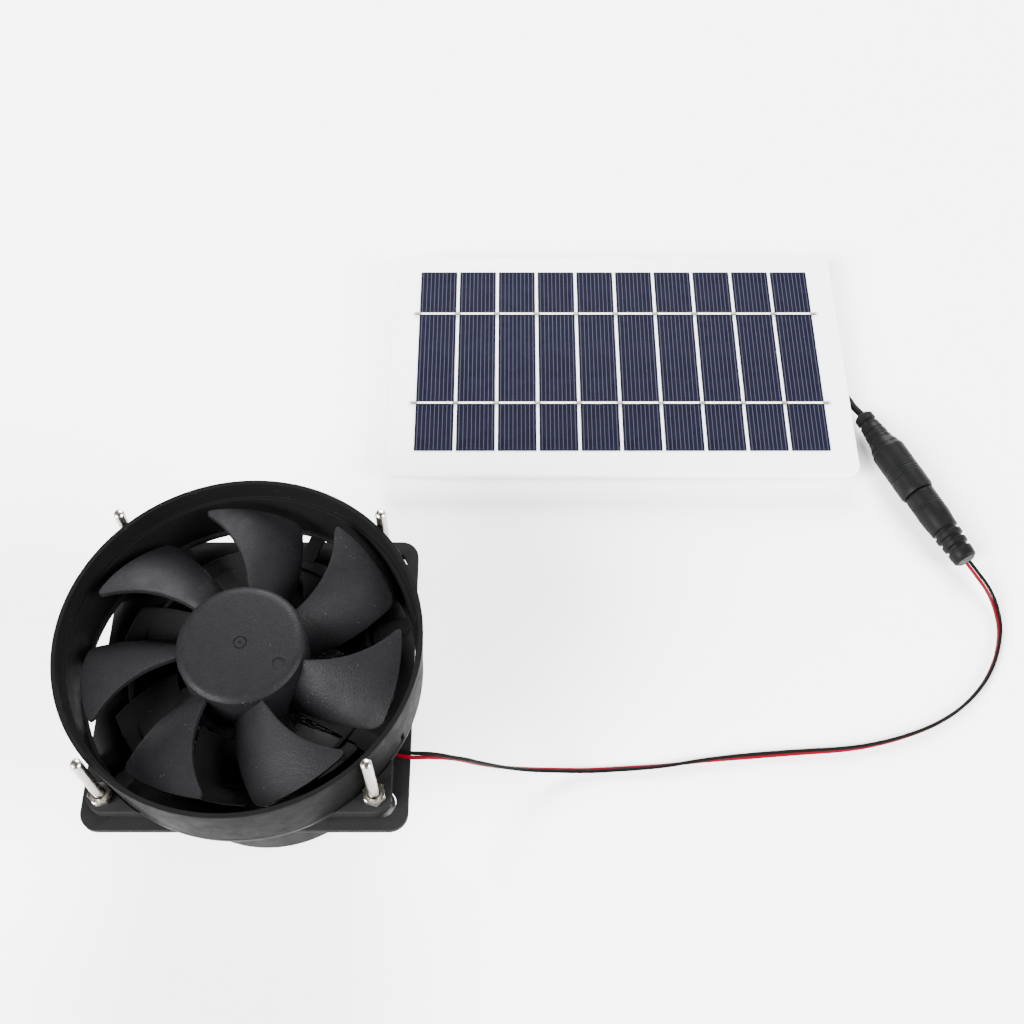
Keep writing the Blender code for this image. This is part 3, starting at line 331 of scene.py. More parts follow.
def finished(thing, paint, slot, body, *nodes, angle=32.0):
    """Applies a piece's modifiers, smooths and paints it, and hangs it on its body."""
    bpy.context.view_layer.update()
    graph = bpy.context.evaluated_depsgraph_get()
    mesh = bpy.data.meshes.new_from_object(thing.evaluated_get(graph))
    thing.modifiers.clear()
    thing.data = mesh
    mesh.materials.clear()
    mesh.materials.append(PAINTS[paint])
    mesh.shade_smooth()
    mesh.set_sharp_from_angle(angle=math.radians(angle))
    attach(thing, body)
    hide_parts(*nodes)


def rounded(outline, radius, steps=4):
    """Replaces each corner of a closed flat outline by a smooth curve."""
    result = []
    count = len(outline)
    for index, corner in enumerate(outline):
        here = Vector(corner)
        into = Vector(outline[index - 1]) - here
        out = Vector(outline[(index + 1) % count]) - here
        reach = min(radius, into.length * 0.45, out.length * 0.45)
        start = here + into.normalized() * reach
        end = here + out.normalized() * reach
        for step in range(steps + 1):
            t = step / steps
            result.append(tuple(start * (1 - t) ** 2 + here * (2 * t * (1 - t)) + end * t ** 2))
    return result


def turned(name, outline, facets=128, location=ZERO, rotation=ZERO, ring=True):
    """Turns (radius, height) points about Z into a closed body."""
    form = bmesh.new()
    loops = []
    for radius, height in outline:
        if radius < 1e-7:
            loops.append([form.verts.new((0.0, 0.0, height))])
            continue
        turns = [2 * math.pi * step / facets for step in range(facets)]
        loops.append([
            form.verts.new((radius * math.cos(turn), radius * math.sin(turn), height)) for turn in turns
        ])
    pairs = list(zip(loops, loops[1:]))
    if ring:
        pairs.append((loops[-1], loops[0]))
    for one, other in pairs:
        for step in range(facets):
            after = (step + 1) % facets
            if len(one) == 1 and len(other) > 1:
                form.faces.new((one[0], other[after], other[step]))
            elif len(other) == 1 and len(one) > 1:
                form.faces.new((one[step], one[after], other[0]))
            elif len(one) > 1:
                form.faces.new((one[step], one[after], other[after], other[step]))
    return from_form(name, form, location, rotation)


def circle(radius, facets=48, centre=(0.0, 0.0)):
    turns = [2 * math.pi * step / facets for step in range(facets)]
    return [(centre[0] + radius * math.cos(turn), centre[1] + radius * math.sin(turn)) for turn in turns]


def rectangle(width, depth, radius, steps=12):
    points = []
    for corner, (side_x, side_y) in enumerate(((1, 1), (-1, 1), (-1, -1), (1, -1))):
        for step in range(steps + 1):
            turn = math.pi / 2 * (corner + step / steps)
            points.append((
                side_x * (width / 2 - radius) + radius * math.cos(turn),
                side_y * (depth / 2 - radius) + radius * math.sin(turn),
            ))
    return points


def moved(outline, across):
    """Moves a flat outline towards +X."""
    return [(x + across, y) for x, y in outline]


def soften(thing, width):
    """Bevels a thing's sharp edges."""
    bevel = thing.modifiers.new("edge", "BEVEL")
    bevel.width = width
    bevel.segments = 3
    bevel.limit_method = "ANGLE"
    bevel.angle_limit = math.radians(50)


def extruded(name, outlines, low, high, location=ZERO, rotation=ZERO, bevel=0.0):
    """Extrudes flat outlines from low to high. Outlines inside the first one are holes."""
    curve = bpy.data.curves.new(name, "CURVE")
    curve.dimensions = "2D"
    curve.fill_mode = "BOTH"
    curve.extrude = (high - low) / 2
    for outline in outlines:
        spline = curve.splines.new("POLY")
        spline.points.add(len(outline) - 1)
        spline.use_cyclic_u = True
        for point, (x, y) in zip(spline.points, outline):
            point.co = (x, y, 0.0, 1.0)
    guide = link(name, curve)
    bpy.context.view_layer.update()
    mesh = bpy.data.meshes.new_from_object(guide.evaluated_get(bpy.context.evaluated_depsgraph_get()))
    bpy.data.objects.remove(guide, do_unlink=True)
    form = bmesh.new()
    form.from_mesh(mesh)
    bmesh.ops.remove_doubles(form, verts=form.verts, dist=0.000001)
    bmesh.ops.dissolve_limit(form, angle_limit=0.001, verts=form.verts, edges=form.edges)
    bmesh.ops.translate(form, verts=form.verts, vec=(0.0, 0.0, (low + high) / 2))
    thing = from_form(name, form, location, rotation)
    if bevel:
        soften(thing, bevel)
    return thing


def combine(target, tool, operation):
    """A Boolean whose tool is removed once it has been applied."""
    boolean = target.modifiers.new("boolean", "BOOLEAN")
    boolean.operation = operation
    boolean.object = tool
    bpy.context.view_layer.update()
    graph = bpy.context.evaluated_depsgraph_get()
    mesh = bpy.data.meshes.new_from_object(target.evaluated_get(graph))
    target.modifiers.clear()
    target.data = mesh
    bpy.data.objects.remove(tool, do_unlink=True)


def join(target, tool):
    combine(target, tool, "UNION")


def cut(target, tool):
    combine(target, tool, "DIFFERENCE")


def sheet_solid(name, rows, thickness, location, edge):
    """A curved sheet through rows of points, thickened, with its rim rounded by edge."""
    form = bmesh.new()
    grid = [[form.verts.new(point) for point in row] for row in rows]
    for lower, upper in zip(grid, grid[1:]):
        for index in range(len(lower) - 1):
            form.faces.new((lower[index], lower[index + 1], upper[index + 1], upper[index]))
    thing = from_form(name, form, location)
    solid = thing.modifiers.new("thickness", "SOLIDIFY")
    solid.thickness = thickness
    solid.offset = 0.0
    soften(thing, edge)
    return thing


def polar(radius, degrees, height):
    turn = math.radians(degrees)
    return Vector((radius * math.cos(turn), radius * math.sin(turn), height))


def smooth_points(route, count):
    """Points evenly spaced along a smooth curve through every point of the route."""
    knots = [Vector(point) for point in route]
    knots = [2 * knots[0] - knots[1]] + knots + [2 * knots[-1] - knots[-2]]
    fine = []
    per_span = 24
    for first in range(len(knots) - 3):
        before, start, end, after = knots[first:first + 4]
        for step in range(per_span):
            t = step / per_span
            fine.append(0.5 * (
                2 * start + (end - before) * t
                + (2 * before - 5 * start + 4 * end - after) * t ** 2
                + (3 * start - before - 3 * end + after) * t ** 3
            ))
    fine.append(knots[-2])
    lengths = [0.0]
    for one, other in zip(fine, fine[1:]):
        lengths.append(lengths[-1] + (other - one).length)
    points = []
    now = 0
    for step in range(count + 1):
        target = lengths[-1] * step / count
        while now < len(fine) - 2 and lengths[now + 1] < target:
            now += 1
        share = (target - lengths[now]) / (lengths[now + 1] - lengths[now])
        points.append(fine[now].lerp(fine[now + 1], share))
    return points


def wire(name, points, radius, paint, slot, *nodes):
    """A round wire or cable along the points, with closed ends."""
    curve = bpy.data.curves.new(name, "CURVE")
    curve.dimensions = "3D"
    curve.bevel_depth = radius
    curve.bevel_resolution = 5
    curve.use_fill_caps = True
    spline = curve.splines.new("POLY")
    spline.points.add(len(points) - 1)
    for point, position in zip(spline.points, points):
        point.co = (*position, 1.0)
    spline.use_smooth = True
    curve.materials.append(PAINTS[paint])
    thing = link(name, curve)
    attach(thing, HOUSING)
    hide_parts(*nodes)
    return thing


# --------------------------------------------------------------------------- connector
MATE_FROM_FAN = Vector((0.2081, 0.0838, 0.00575))
CONNECTOR_ROTATION = (0.0, math.pi / 2, math.radians(-65.3))
JACK_R = 0.00575
JACK_LENGTH = 0.0350
PLUG_R = 0.0051
PLUG_LENGTH = 0.0280
SOCKET_R = 0.0031
SOCKET_DEPTH = 0.0105
CONNECTOR_FACETS = 72
# A groove's sides take up its outer 1 / slope, and its floor is flat
GROOVE_SIDE_SLOPE = 2.2
# Grooves: (place along the axis, half width, depth)
JACK_RELIEFS = [(-0.0312, 0.0008, 0.0007), (-0.0273, 0.0006, 0.0004), (-0.0246, 0.0006, 0.0003)]
JACK_GRIPS = [(-0.0072 - 0.0011 * ring, 0.0004, 0.00018) for ring in range(5)]
PLUG_RELIEFS = [(0.0165 + 0.0033 * ring, 0.0009, 0.0008) for ring in range(3)]
PLUG_GRIPS = [(0.0049 + 0.0009 * ring, 0.0004, 0.00018) for ring in range(3)]
# Outer shapes: (radius, place along the axis) from the mating faces outwards
JACK_PROFILE = [
    (JACK_R - 0.0003, -0.0004), (JACK_R, -0.0012), (JACK_R, -0.0182), (JACK_R - 0.0006, -0.0200),
    (0.0042, -0.0232), (0.0039, -0.0262), (0.0034, -0.0300), (0.0033, -JACK_LENGTH + 0.0010),
    (0.0022, -JACK_LENGTH),
]
PLUG_PROFILE = [
    (PLUG_R - 0.0005, GAP), (PLUG_R, GAP + 0.0008), (PLUG_R, 0.0090), (0.0046, 0.0165),
    (0.0041, 0.0250), (0.0039, PLUG_LENGTH - 0.0008), (0.0031, PLUG_LENGTH),
]


def grooved(profile, grooves):
    """Cuts round grooves into a profile and follows it finely enough to show them."""
    steps = 420
    low, high = profile[0][1], profile[-1][1]
    points = []
    for step in range(steps + 1):
        along = low + (high - low) * step / steps
        for (one_r, one), (other_r, other) in zip(profile, profile[1:]):
            if min(one, other) <= along <= max(one, other):
                share = (along - one) / (other - one)
                radius = one_r + (other_r - one_r) * share * share * (3 - 2 * share)
                break
        for place, half, depth in grooves:
            away = abs(along - place) / half
            if away < 1.0:
                radius -= depth * min(1.0, (1.0 - away) * GROOVE_SIDE_SLOPE)
        points.append((radius, along))
    return points


def build_connector():
    """The moulded jack and plug, mated, with their strain reliefs and grip rings."""
    at = FAN + MATE_FROM_FAN
    inner = [(0.0, -SOCKET_DEPTH), (SOCKET_R, -SOCKET_DEPTH), (SOCKET_R, 0.0), (JACK_R - 0.0005, 0.0)]
    outline = inner + grooved(JACK_PROFILE, JACK_RELIEFS + JACK_GRIPS) + [(0.0, -JACK_LENGTH)]
    jack = turned("jack_moulding", outline, CONNECTOR_FACETS, at, CONNECTOR_ROTATION, False)
    finished(jack, "connector", "connector_plastic", HOUSING, "jack_body")

    outline = [(0.0, GAP)] + grooved(PLUG_PROFILE, PLUG_RELIEFS + PLUG_GRIPS) + [(0.0, PLUG_LENGTH)]
    plug = turned("plug_moulding", outline, CONNECTOR_FACETS, at, CONNECTOR_ROTATION, False)
    finished(plug, "connector", "connector_plastic", HOUSING, "plug_body")
    return jack, plug


# ------------------------------------------------------------------------------- cords
WIRE_R = 0.00055
# Between the middles of the lead's two wires
WIRE_PITCH = 0.00116
CABLE_R = 0.0012
LEAD_STEPS = 300
CABLE_STEPS = 120
# How far the lead's two wires have rolled over: (share of the length, half turns)
LEAD_ROLL = [
    (0.0, 0.0), (0.11, 0.0), (0.19, 0.58), (0.34, 0.77), (0.42, 0.77),
    (0.57, 0.33), (0.76, 0.53), (0.88, 0.54), (1.0, 0.88),
]

# Middle of the lead, from the motor seat to the plug, measured from the fan's axis
LEAD_ROUTE = [
    (0.0102, -0.0067, 0.0456), (0.0200, -0.0119, 0.0456), (0.0300, -0.0172, 0.0456),
    (0.0385, -0.0215, 0.0456), (0.0440, -0.0229, 0.0453), (0.0496, -0.0226, 0.0438),
    (0.0541, -0.0218, 0.0402), (0.0587, -0.0205, 0.0346), (0.0624, -0.0192, 0.0285),
    (0.0690, -0.0165, 0.0178), (0.0762, -0.0140, 0.0090), (0.0842, -0.0123, 0.0036),
    (0.0923, -0.0116, 0.0013), (0.0997, -0.0112, 0.0008), (0.1171, -0.0100, 0.0008),
    (0.1290, -0.0084, 0.0008), (0.1413, -0.0071, 0.0008), (0.1569, -0.0058, 0.0008),
    (0.1726, -0.0047, 0.0008), (0.1822, -0.0032, 0.0008), (0.1919, -0.0006, 0.0008),
    (0.2019, 0.0033, 0.0008), (0.2110, 0.0089, 0.0008), (0.2187, 0.0163, 0.0008),
    (0.2243, 0.0250, 0.0008), (0.2275, 0.0345, 0.0010), (0.2276, 0.0425, 0.0018),
    (0.2257, 0.0487, 0.0034), (0.2225, 0.0536, 0.0051), (0.2201, 0.0576, 0.00575),
]
# Middle of the panel's cable, from the junction box to the jack, from the fan's axis
CABLE_ROUTE = [
    (0.1243, 0.1376, 0.0034), (0.1330, 0.1376, 0.0033), (0.1430, 0.1379, 0.0018),
    (0.1540, 0.1390, 0.0014), (0.1650, 0.1399, 0.0013), (0.1740, 0.1390, 0.0013),
    (0.1815, 0.1358, 0.0014), (0.1865, 0.1308, 0.0020), (0.1896, 0.1254, 0.0032),
    (0.1912, 0.1197, 0.0050), (0.1933, 0.1159, 0.00575),
]


def half_turns(share):
    """How many half turns the lead has made by this share of its length."""
    for (start, low), (end, high) in zip(LEAD_ROLL, LEAD_ROLL[1:]):
        if share <= end:
            step = (share - start) / (end - start)
            return low + (high - low) * step * step * (3 - 2 * step)
    return LEAD_ROLL[-1][1]


def lead_points(side):
    """Points of one wire: side 1 is the red wire, -1 the black one.

    The wires lie side by side, and the pair lifts where it rolls, so that the lower wire
    doesn't sink into the floor.
    """
    middle = smooth_points(LEAD_ROUTE, LEAD_STEPS)
    points = []
    for number, point in enumerate(middle):
        along = middle[min(number + 1, LEAD_STEPS)] - middle[max(number - 1, 0)]
        across = Vector((-along.y, along.x, 0.0)).normalized()
        above = along.cross(across).normalized()
        turn = math.pi * (1 + half_turns(number / LEAD_STEPS))
        lift = abs(math.sin(turn)) * WIRE_PITCH / 2
        offset = across * math.cos(turn) + above * math.sin(turn)
        points.append(FAN + point + offset * side * WIRE_PITCH / 2 + Vector((0.0, 0.0, lift)))
    return points


def build_cords():
    """The lead's two wires and the panel's cable."""
    for side, colour in ((1, "red"), (-1, "black")):
        points = lead_points(side)
        made = wire(f"wire_{colour}", points, WIRE_R, f"{colour}_wire", f"wire_{colour}", f"lead_{colour}")
    points = [FAN + point for point in smooth_points(CABLE_ROUTE, CABLE_STEPS)]
    made = wire("cable_sheath", points, CABLE_R, "black_wire", "cable_black", "panel_cable")


# ------------------------------------------------------------------------- fan housing
# Collar
RIM_Z = 0.0710
COLLAR_BOTTOM_Z = 0.0493
COLLAR_R = 0.0485
COLLAR_FOOT_R = 0.0472
COLLAR_WALL = 0.0013
COLLAR_EDGE_R = 0.0003
COLLAR_BAND = 0.0030
THROAT_R = 0.0460
# The stepped notch over the lead: (direction in degrees, width, height), and how deep it cuts
LEAD_NOTCHES = ((-29.6, 0.0058, 0.0023), (-25.9, 0.0015, 0.0062))
LEAD_NOTCH_DEPTH = 0.0060
LEAD_NOTCH_CORNER_R = 0.0002
# How far a cutting body reaches past what it cuts
OVERCUT = 0.0010
STEP_Z = 0.0645

# Plate and ears
PLATE_TOP_Z = 0.0447
PLATE_BOTTOM_Z = 0.0427
EAR_TOP_Z = 0.0497
EAR_BOTTOM_Z = PLATE_TOP_Z + GAP
EAR_HALF = 0.0400
EAR_CORNER_R = 0.0050
EAR_INNER_R = 0.0476
EAR_EDGE = 0.0004
EAR_HOLE_R = 0.0018
LIP_TOP_Z = COLLAR_BOTTOM_Z - GAP
LIP_BOTTOM_Z = 0.0473
LIP_INNER_R = 0.0453
LIP_EDGE_R = 0.0003
# The step inside the ears that the lip sits over
LEDGE_Z = LIP_TOP_Z - 0.0002
LEDGE_R = COLLAR_FOOT_R - 0.0010
WELL_OVERCUT = 0.0050
BOLT_OFFSET = 0.03575

# Motor seat, with its hole for the bearing tube
SEAT_R = 0.0175
SEAT_BOTTOM_Z = 0.0450
SEAT_TOP_Z = 0.0484
SEAT_EDGE_R = 0.0007
TUBE_CLEAR_R = 0.0045

# Guide vanes, and the bars that hold each one at its root and tip
VANE_COUNT = 7
VANE_EDGE_DEG = -46.9
VANE_LEAN_DEG = 19.0
VANE_SPAN_DEG = 28.0
VANE_INNER_R = 0.0200
VANE_OUTER_R = 0.0378
VANE_TOP_Z = 0.0503
VANE_BOTTOM_Z = 0.0466
VANE_THICK = 0.0012
VANE_EDGE_R = 0.00025
ARM_TOP_Z = 0.0487
ARM_BOTTOM_Z = 0.0476
ARM_CORNER_R = 0.0003
ROOT_ARM_SIZE = (0.0058, 0.0040)
ROOT_ARM_R = 0.0189
ROOT_ARM_INSET_DEG = 9.0
TIP_ARM_SIZE = (0.0096, 0.0042)
TIP_ARM_R = 0.0414
TIP_ARM_INSET_DEG = 4.5
LEAD_BAR_SIZE = (0.0297, 0.0046)
LEAD_BAR_AT = (0.0269, -0.0166)
# What the lead lies in: a groove in the seat, and a slot in the ears
LEAD_GROOVE_SIZE = (0.0160, 0.0034)
LEAD_GROOVE_START = 0.0060
LEAD_GROOVE_Z = (0.0435, 0.0465)
LEAD_SLOT_SIZE = (0.0110, 0.0060)
LEAD_SLOT_AT = (0.0400, -0.0225)
LEAD_SLOT_Z = (0.0446, 0.0472)
LEAD_CUT_CORNER_R = 0.0005
# The ring through the vanes
GUARD_R = 0.0330
GUARD_HALF_WIDTH = 0.0006
GUARD_TOP_Z = 0.0493
GUARD_BOTTOM_Z = 0.0475

# Plate, spigot and gasket
PLATE_HALF = 0.0433
PLATE_CORNER_R = 0.0050
PLATE_EDGE = 0.00035
# How far the plate and gasket sit towards the panel. A round 0.0010 empties the plate's Boolean.
PLATE_SHIFT = 0.00103
PLATE_HOLE_R = 0.0043
SPIGOT_R = 0.0350
SPIGOT_WALL = 0.0018
SPIGOT_EDGE_R = 0.0003
GASKET_HALF = 0.0428
GASKET_THICK = 0.0010
GASKET_BOLT_HOLE_R = 0.0054
GASKET_EDGE = 0.0002

# The ears' holes, from the fan's axis
CORNERS = {
    "front_left": (-BOLT_OFFSET, -BOLT_OFFSET),
    "front_right": (BOLT_OFFSET, -BOLT_OFFSET),
    "rear_right": (BOLT_OFFSET, BOLT_OFFSET),
    "rear_left": (-BOLT_OFFSET, BOLT_OFFSET),
}


def build_collar():
    """The round collar: a tapering tube with a straight band at its rim and a step inside."""
    outline = rounded([
        (COLLAR_R, RIM_Z), (COLLAR_R - 0.0002, RIM_Z - COLLAR_BAND), (COLLAR_FOOT_R, COLLAR_BOTTOM_Z),
        (THROAT_R, COLLAR_BOTTOM_Z), (THROAT_R + 0.0001, STEP_Z), (COLLAR_R - COLLAR_WALL - 0.0001, STEP_Z),
        (COLLAR_R - COLLAR_WALL, RIM_Z),
    ], COLLAR_EDGE_R)
    collar = turned("collar_shell", outline, 192, FAN)
    for degrees, width, height in LEAD_NOTCHES:
        step = extruded("step", [rectangle(LEAD_NOTCH_DEPTH, width, LEAD_NOTCH_CORNER_R, 2)],
                        COLLAR_BOTTOM_Z - OVERCUT, COLLAR_BOTTOM_Z + height,
                        FAN + polar(COLLAR_FOOT_R, degrees, 0.0), (0.0, 0.0, math.radians(degrees)))
        cut(collar, step)
    finished(collar, "collar", "collar_plastic", HOUSING, "duct_collar")


def vane(number):
    """A guide vane: a sheet that slopes down to its edge, which leans round on its way out."""
    rows = []
    spans = 12
    columns = 8
    for row in range(spans + 1):
        share = row / spans
        radius = VANE_INNER_R + share * (VANE_OUTER_R - VANE_INNER_R)
        edge = VANE_EDGE_DEG + number * 360 / VANE_COUNT + VANE_LEAN_DEG * share
        top = VANE_TOP_Z - VANE_THICK / 2
        low = VANE_BOTTOM_Z + VANE_THICK / 2
        rows.append([
            polar(radius, edge - VANE_SPAN_DEG * (1 - step / columns), top + (low - top) * step / columns)
            for step in range(columns + 1)
        ])
    return sheet_solid(f"vane_{number}", rows, VANE_THICK, FAN, VANE_EDGE_R)


def arm(name, size, x, y, degrees):
    """A flat bar of the frame, as long and wide as its size says."""
    return extruded(name, [rectangle(*size, ARM_CORNER_R, 2)], ARM_BOTTOM_Z, ARM_TOP_Z,
                    FAN + Vector((x, y, 0.0)), (0.0, 0.0, math.radians(degrees)))


def vane_arms(number):
    """The two bars that hold a vane, at the seat and at the lip."""
    edge = VANE_EDGE_DEG + number * 360 / VANE_COUNT
    arms = []
    for name, size, radius, degrees in (
        ("root_arm", ROOT_ARM_SIZE, ROOT_ARM_R, edge - ROOT_ARM_INSET_DEG),
        ("tip_arm", TIP_ARM_SIZE, TIP_ARM_R, edge + VANE_LEAN_DEG - TIP_ARM_INSET_DEG),
    ):
        at = polar(radius, degrees, 0.0)
        arms.append(arm(f"{name}_{number}", size, at.x, at.y, degrees))
    return arms


def build_ears():
    """The square of four ears, hollowed to take the lip and the collar's foot."""
    holes = [circle(EAR_HOLE_R, 32, centre) for centre in CORNERS.values()]
    ears = extruded(
        "ears", [rectangle(2 * EAR_HALF, 2 * EAR_HALF, EAR_CORNER_R)] + holes,
        EAR_BOTTOM_Z, EAR_TOP_Z, FAN, bevel=EAR_EDGE,
    )
    top, bottom = EAR_TOP_Z + WELL_OVERCUT, EAR_BOTTOM_Z - WELL_OVERCUT
    cut(ears, turned("well", [
        (0.0, top), (EAR_INNER_R, top), (EAR_INNER_R, LEDGE_Z), (LEDGE_R, LEDGE_Z), (LEDGE_R, bottom),
        (0.0, bottom),
    ], 144, FAN, ring=False))
    return ears


def lead_cut(name, size, at, heights, degrees):
    return extruded(name, [rectangle(*size, LEAD_CUT_CORNER_R, 3)], *heights, at,
                    (0.0, 0.0, math.radians(degrees)))


def build_frame():
    """The frame: lip, ears, vanes on their bars, motor seat, guard ring and the lead's way out."""
    lip = rounded([
        (COLLAR_FOOT_R, LIP_TOP_Z), (COLLAR_FOOT_R, LIP_BOTTOM_Z),
        (LIP_INNER_R, LIP_BOTTOM_Z), (LIP_INNER_R, LIP_TOP_Z),
    ], LIP_EDGE_R, steps=3)
    body = turned("frame_moulding_piece", lip, 144, FAN)
    join(body, build_ears())
    for number in range(VANE_COUNT):
        join(body, vane(number))
        for bar in vane_arms(number):
            join(body, bar)
    start = Vector(LEAD_ROUTE[0])
    run = Vector(LEAD_ROUTE[2]) - start
    degrees = math.degrees(math.atan2(run.y, run.x))
    join(body, arm("lead_bar", LEAD_BAR_SIZE, *LEAD_BAR_AT, degrees))
    seat = rounded([
        (SEAT_R, SEAT_TOP_Z), (SEAT_R - 0.0006, SEAT_BOTTOM_Z),
        (TUBE_CLEAR_R, SEAT_BOTTOM_Z), (TUBE_CLEAR_R, SEAT_TOP_Z),
    ], SEAT_EDGE_R)
    join(body, turned("seat", seat, 96, FAN))
    outer, inner = GUARD_R + GUARD_HALF_WIDTH, GUARD_R - GUARD_HALF_WIDTH
    guard = rounded([
        (outer, GUARD_TOP_Z), (outer, GUARD_BOTTOM_Z), (inner, GUARD_BOTTOM_Z), (inner, GUARD_TOP_Z),
    ], LIP_EDGE_R, steps=3)
    join(body, turned("guard", guard, 128, FAN))
    groove_at = FAN + Vector((start.x, start.y, 0.0)) + polar(LEAD_GROOVE_START, degrees, 0.0)
    cut(body, lead_cut("groove", LEAD_GROOVE_SIZE, groove_at, LEAD_GROOVE_Z, degrees))
    slot_at = FAN + Vector((*LEAD_SLOT_AT, 0.0))
    cut(body, lead_cut("notch", LEAD_SLOT_SIZE, slot_at, LEAD_SLOT_Z, degrees))
    finished(body, "frame", "frame_plastic", HOUSING, "fan_frame", angle=28.0)


def shifted_square(half):
    return moved(rectangle(2 * half, 2 * half, PLATE_CORNER_R), PLATE_SHIFT)


def build_plate():
    """The mounting plate with its spigot."""
    holes = [moved(circle(PLATE_HOLE_R, 48, centre), PLATE_SHIFT) for centre in CORNERS.values()]
    plate = extruded(
        "plate_sheet_piece",
        [shifted_square(PLATE_HALF), circle(SPIGOT_R - SPIGOT_WALL / 2, 128)] + holes,
        PLATE_BOTTOM_Z, PLATE_TOP_Z, FAN, bevel=PLATE_EDGE,
    )
    inner = SPIGOT_R - SPIGOT_WALL
    top = PLATE_TOP_Z - 0.0002
    spigot = turned("spigot", rounded([
        (SPIGOT_R, top), (SPIGOT_R, 0.0008), (SPIGOT_R - 0.0005, 0.0), (inner, 0.0), (inner, top),
    ], SPIGOT_EDGE_R, steps=3), 128, FAN)
    join(plate, spigot)
    finished(plate, "plate", "plate_plastic", HOUSING, "mounting_plate", angle=28.0)


def build_gasket():
    """The foam gasket under the plate, round the spigot."""
    top = PLATE_BOTTOM_Z - GAP
    holes = [circle(GASKET_BOLT_HOLE_R, 40, centre) for centre in CORNERS.values()]
    gasket = extruded(
        "gasket_foam_piece",
        [shifted_square(GASKET_HALF), circle(SPIGOT_R + GAP, 128)] + holes,
        top - GASKET_THICK, top, FAN, bevel=GASKET_EDGE,
    )
    finished(gasket, "gasket", "gasket_foam", HOUSING, "plate_gasket")


# --------------------------------------------------------------------------- fasteners
BOLT_R = 0.0015
BOLT_TIP_Z = 0.0745
HEAD_TOP_Z = 0.0413
HEAD_BOTTOM_Z = 0.0395
HEAD_R = 0.0028
THREAD_PITCH = 0.0005
THREAD_DEPTH = 0.00004
ROWS_PER_PITCH = 8
CREST_CLEARANCE = 0.00001
TIP_CHAMFER = 0.0005
NUT_LOW_Z = EAR_TOP_Z + GAP
NUT_HEIGHT = 0.0024
NUT_FLATS = 0.0055
NUT_CHAMFER = 0.0003
WASHER_R = 0.0050
WASHER_TOP_Z = 0.0424
WASHER_BOTTOM_Z = 0.0416
WASHER_EDGE = 0.0001


def threaded_bolt(name, location):
    """An M3 screw: a helical thread from under its head to its chamfered tip."""
    facets = 36
    rows = int((BOLT_TIP_Z - HEAD_TOP_Z) / THREAD_PITCH * ROWS_PER_PITCH)
    form = bmesh.new()

    def ring_of(radii, height):
        places = [polar(radius, 360 * step / facets, height) for step, radius in enumerate(radii)]
        return [form.verts.new(place) for place in places]

    head = [
        (HEAD_R - 0.0007, HEAD_BOTTOM_Z), (HEAD_R - 0.0002, HEAD_BOTTOM_Z + 0.0003),
        (HEAD_R, HEAD_BOTTOM_Z + 0.0007), (HEAD_R, HEAD_TOP_Z - 0.0001), (HEAD_R - 0.0001, HEAD_TOP_Z),
    ]
    loops = [ring_of([radius] * facets, height) for radius, height in head]
    for row in range(rows + 1):
        height = HEAD_TOP_Z + (BOLT_TIP_Z - HEAD_TOP_Z) * row / rows
        chamfered = BOLT_R - TIP_CHAMFER + (BOLT_TIP_Z - height)
        radii = []
        for step in range(facets):
            phase = (height / THREAD_PITCH - step / facets) % 1.0
            crest = BOLT_R - THREAD_DEPTH * (1 - abs(2 * phase - 1)) - CREST_CLEARANCE
            radii.append(min(crest, chamfered))
        loops.append(ring_of(radii, height))
    for one, other in zip(loops, loops[1:]):
        for step in range(facets):
            after = (step + 1) % facets
            form.faces.new((one[step], one[after], other[after], other[step]))
    form.faces.new(loops[0])
    form.faces.new(loops[-1])
    return from_form(name, form, location)


def hex_nut(name, location, degrees):
    """A nut with its corners chamfered above and below, one flat facing degrees."""
    top = NUT_LOW_Z + NUT_HEIGHT
    corner_r = NUT_FLATS / math.sqrt(3)
    hexagon = [tuple(polar(corner_r, 60 * side + 30 + degrees, 0.0))[:2] for side in range(6)]
    nut = extruded(name, [hexagon, circle(BOLT_R + GAP, 32)], NUT_LOW_Z, top, location)
    inner = NUT_FLATS / 2 + 0.0001
    outer = inner + 2 * NUT_CHAMFER
    chamfer = turned("chamfer", [
        (0.0, top), (inner, top), (outer, top - NUT_CHAMFER),
        (outer, NUT_LOW_Z + NUT_CHAMFER), (inner, NUT_LOW_Z), (0.0, NUT_LOW_Z),
    ], 48, location, ring=False)
    combine(nut, chamfer, "INTERSECT")
    return nut


def build_fasteners():
    """A stud, a nut and a large washer at each ear."""
    for corner, (x, y) in CORNERS.items():
        at = FAN + Vector((x, y, 0.0))
        bolt = threaded_bolt(f"screw_{corner}", at)
        finished(bolt, "stud", "nickel", HOUSING, f"bolt_{corner}", angle=50.0)
        nut = hex_nut(f"hex_{corner}", at, math.degrees(math.atan2(y, x)))
        finished(nut, "nut", "nickel", HOUSING, f"nut_{corner}", angle=20.0)
        washer = extruded(f"disc_{corner}", [circle(WASHER_R, 48), circle(BOLT_R + GAP, 32)],
                          WASHER_BOTTOM_Z, WASHER_TOP_Z, at, bevel=WASHER_EDGE)
        finished(washer, "washer", "nickel", HOUSING, f"washer_{corner}")


# ------------------------------------------------------------------------------- rotor
HUB_R = 0.0172
HUB_WALL = 0.0016
HUB_TOP_Z = 0.0678
HUB_BOTTOM_Z = 0.0505
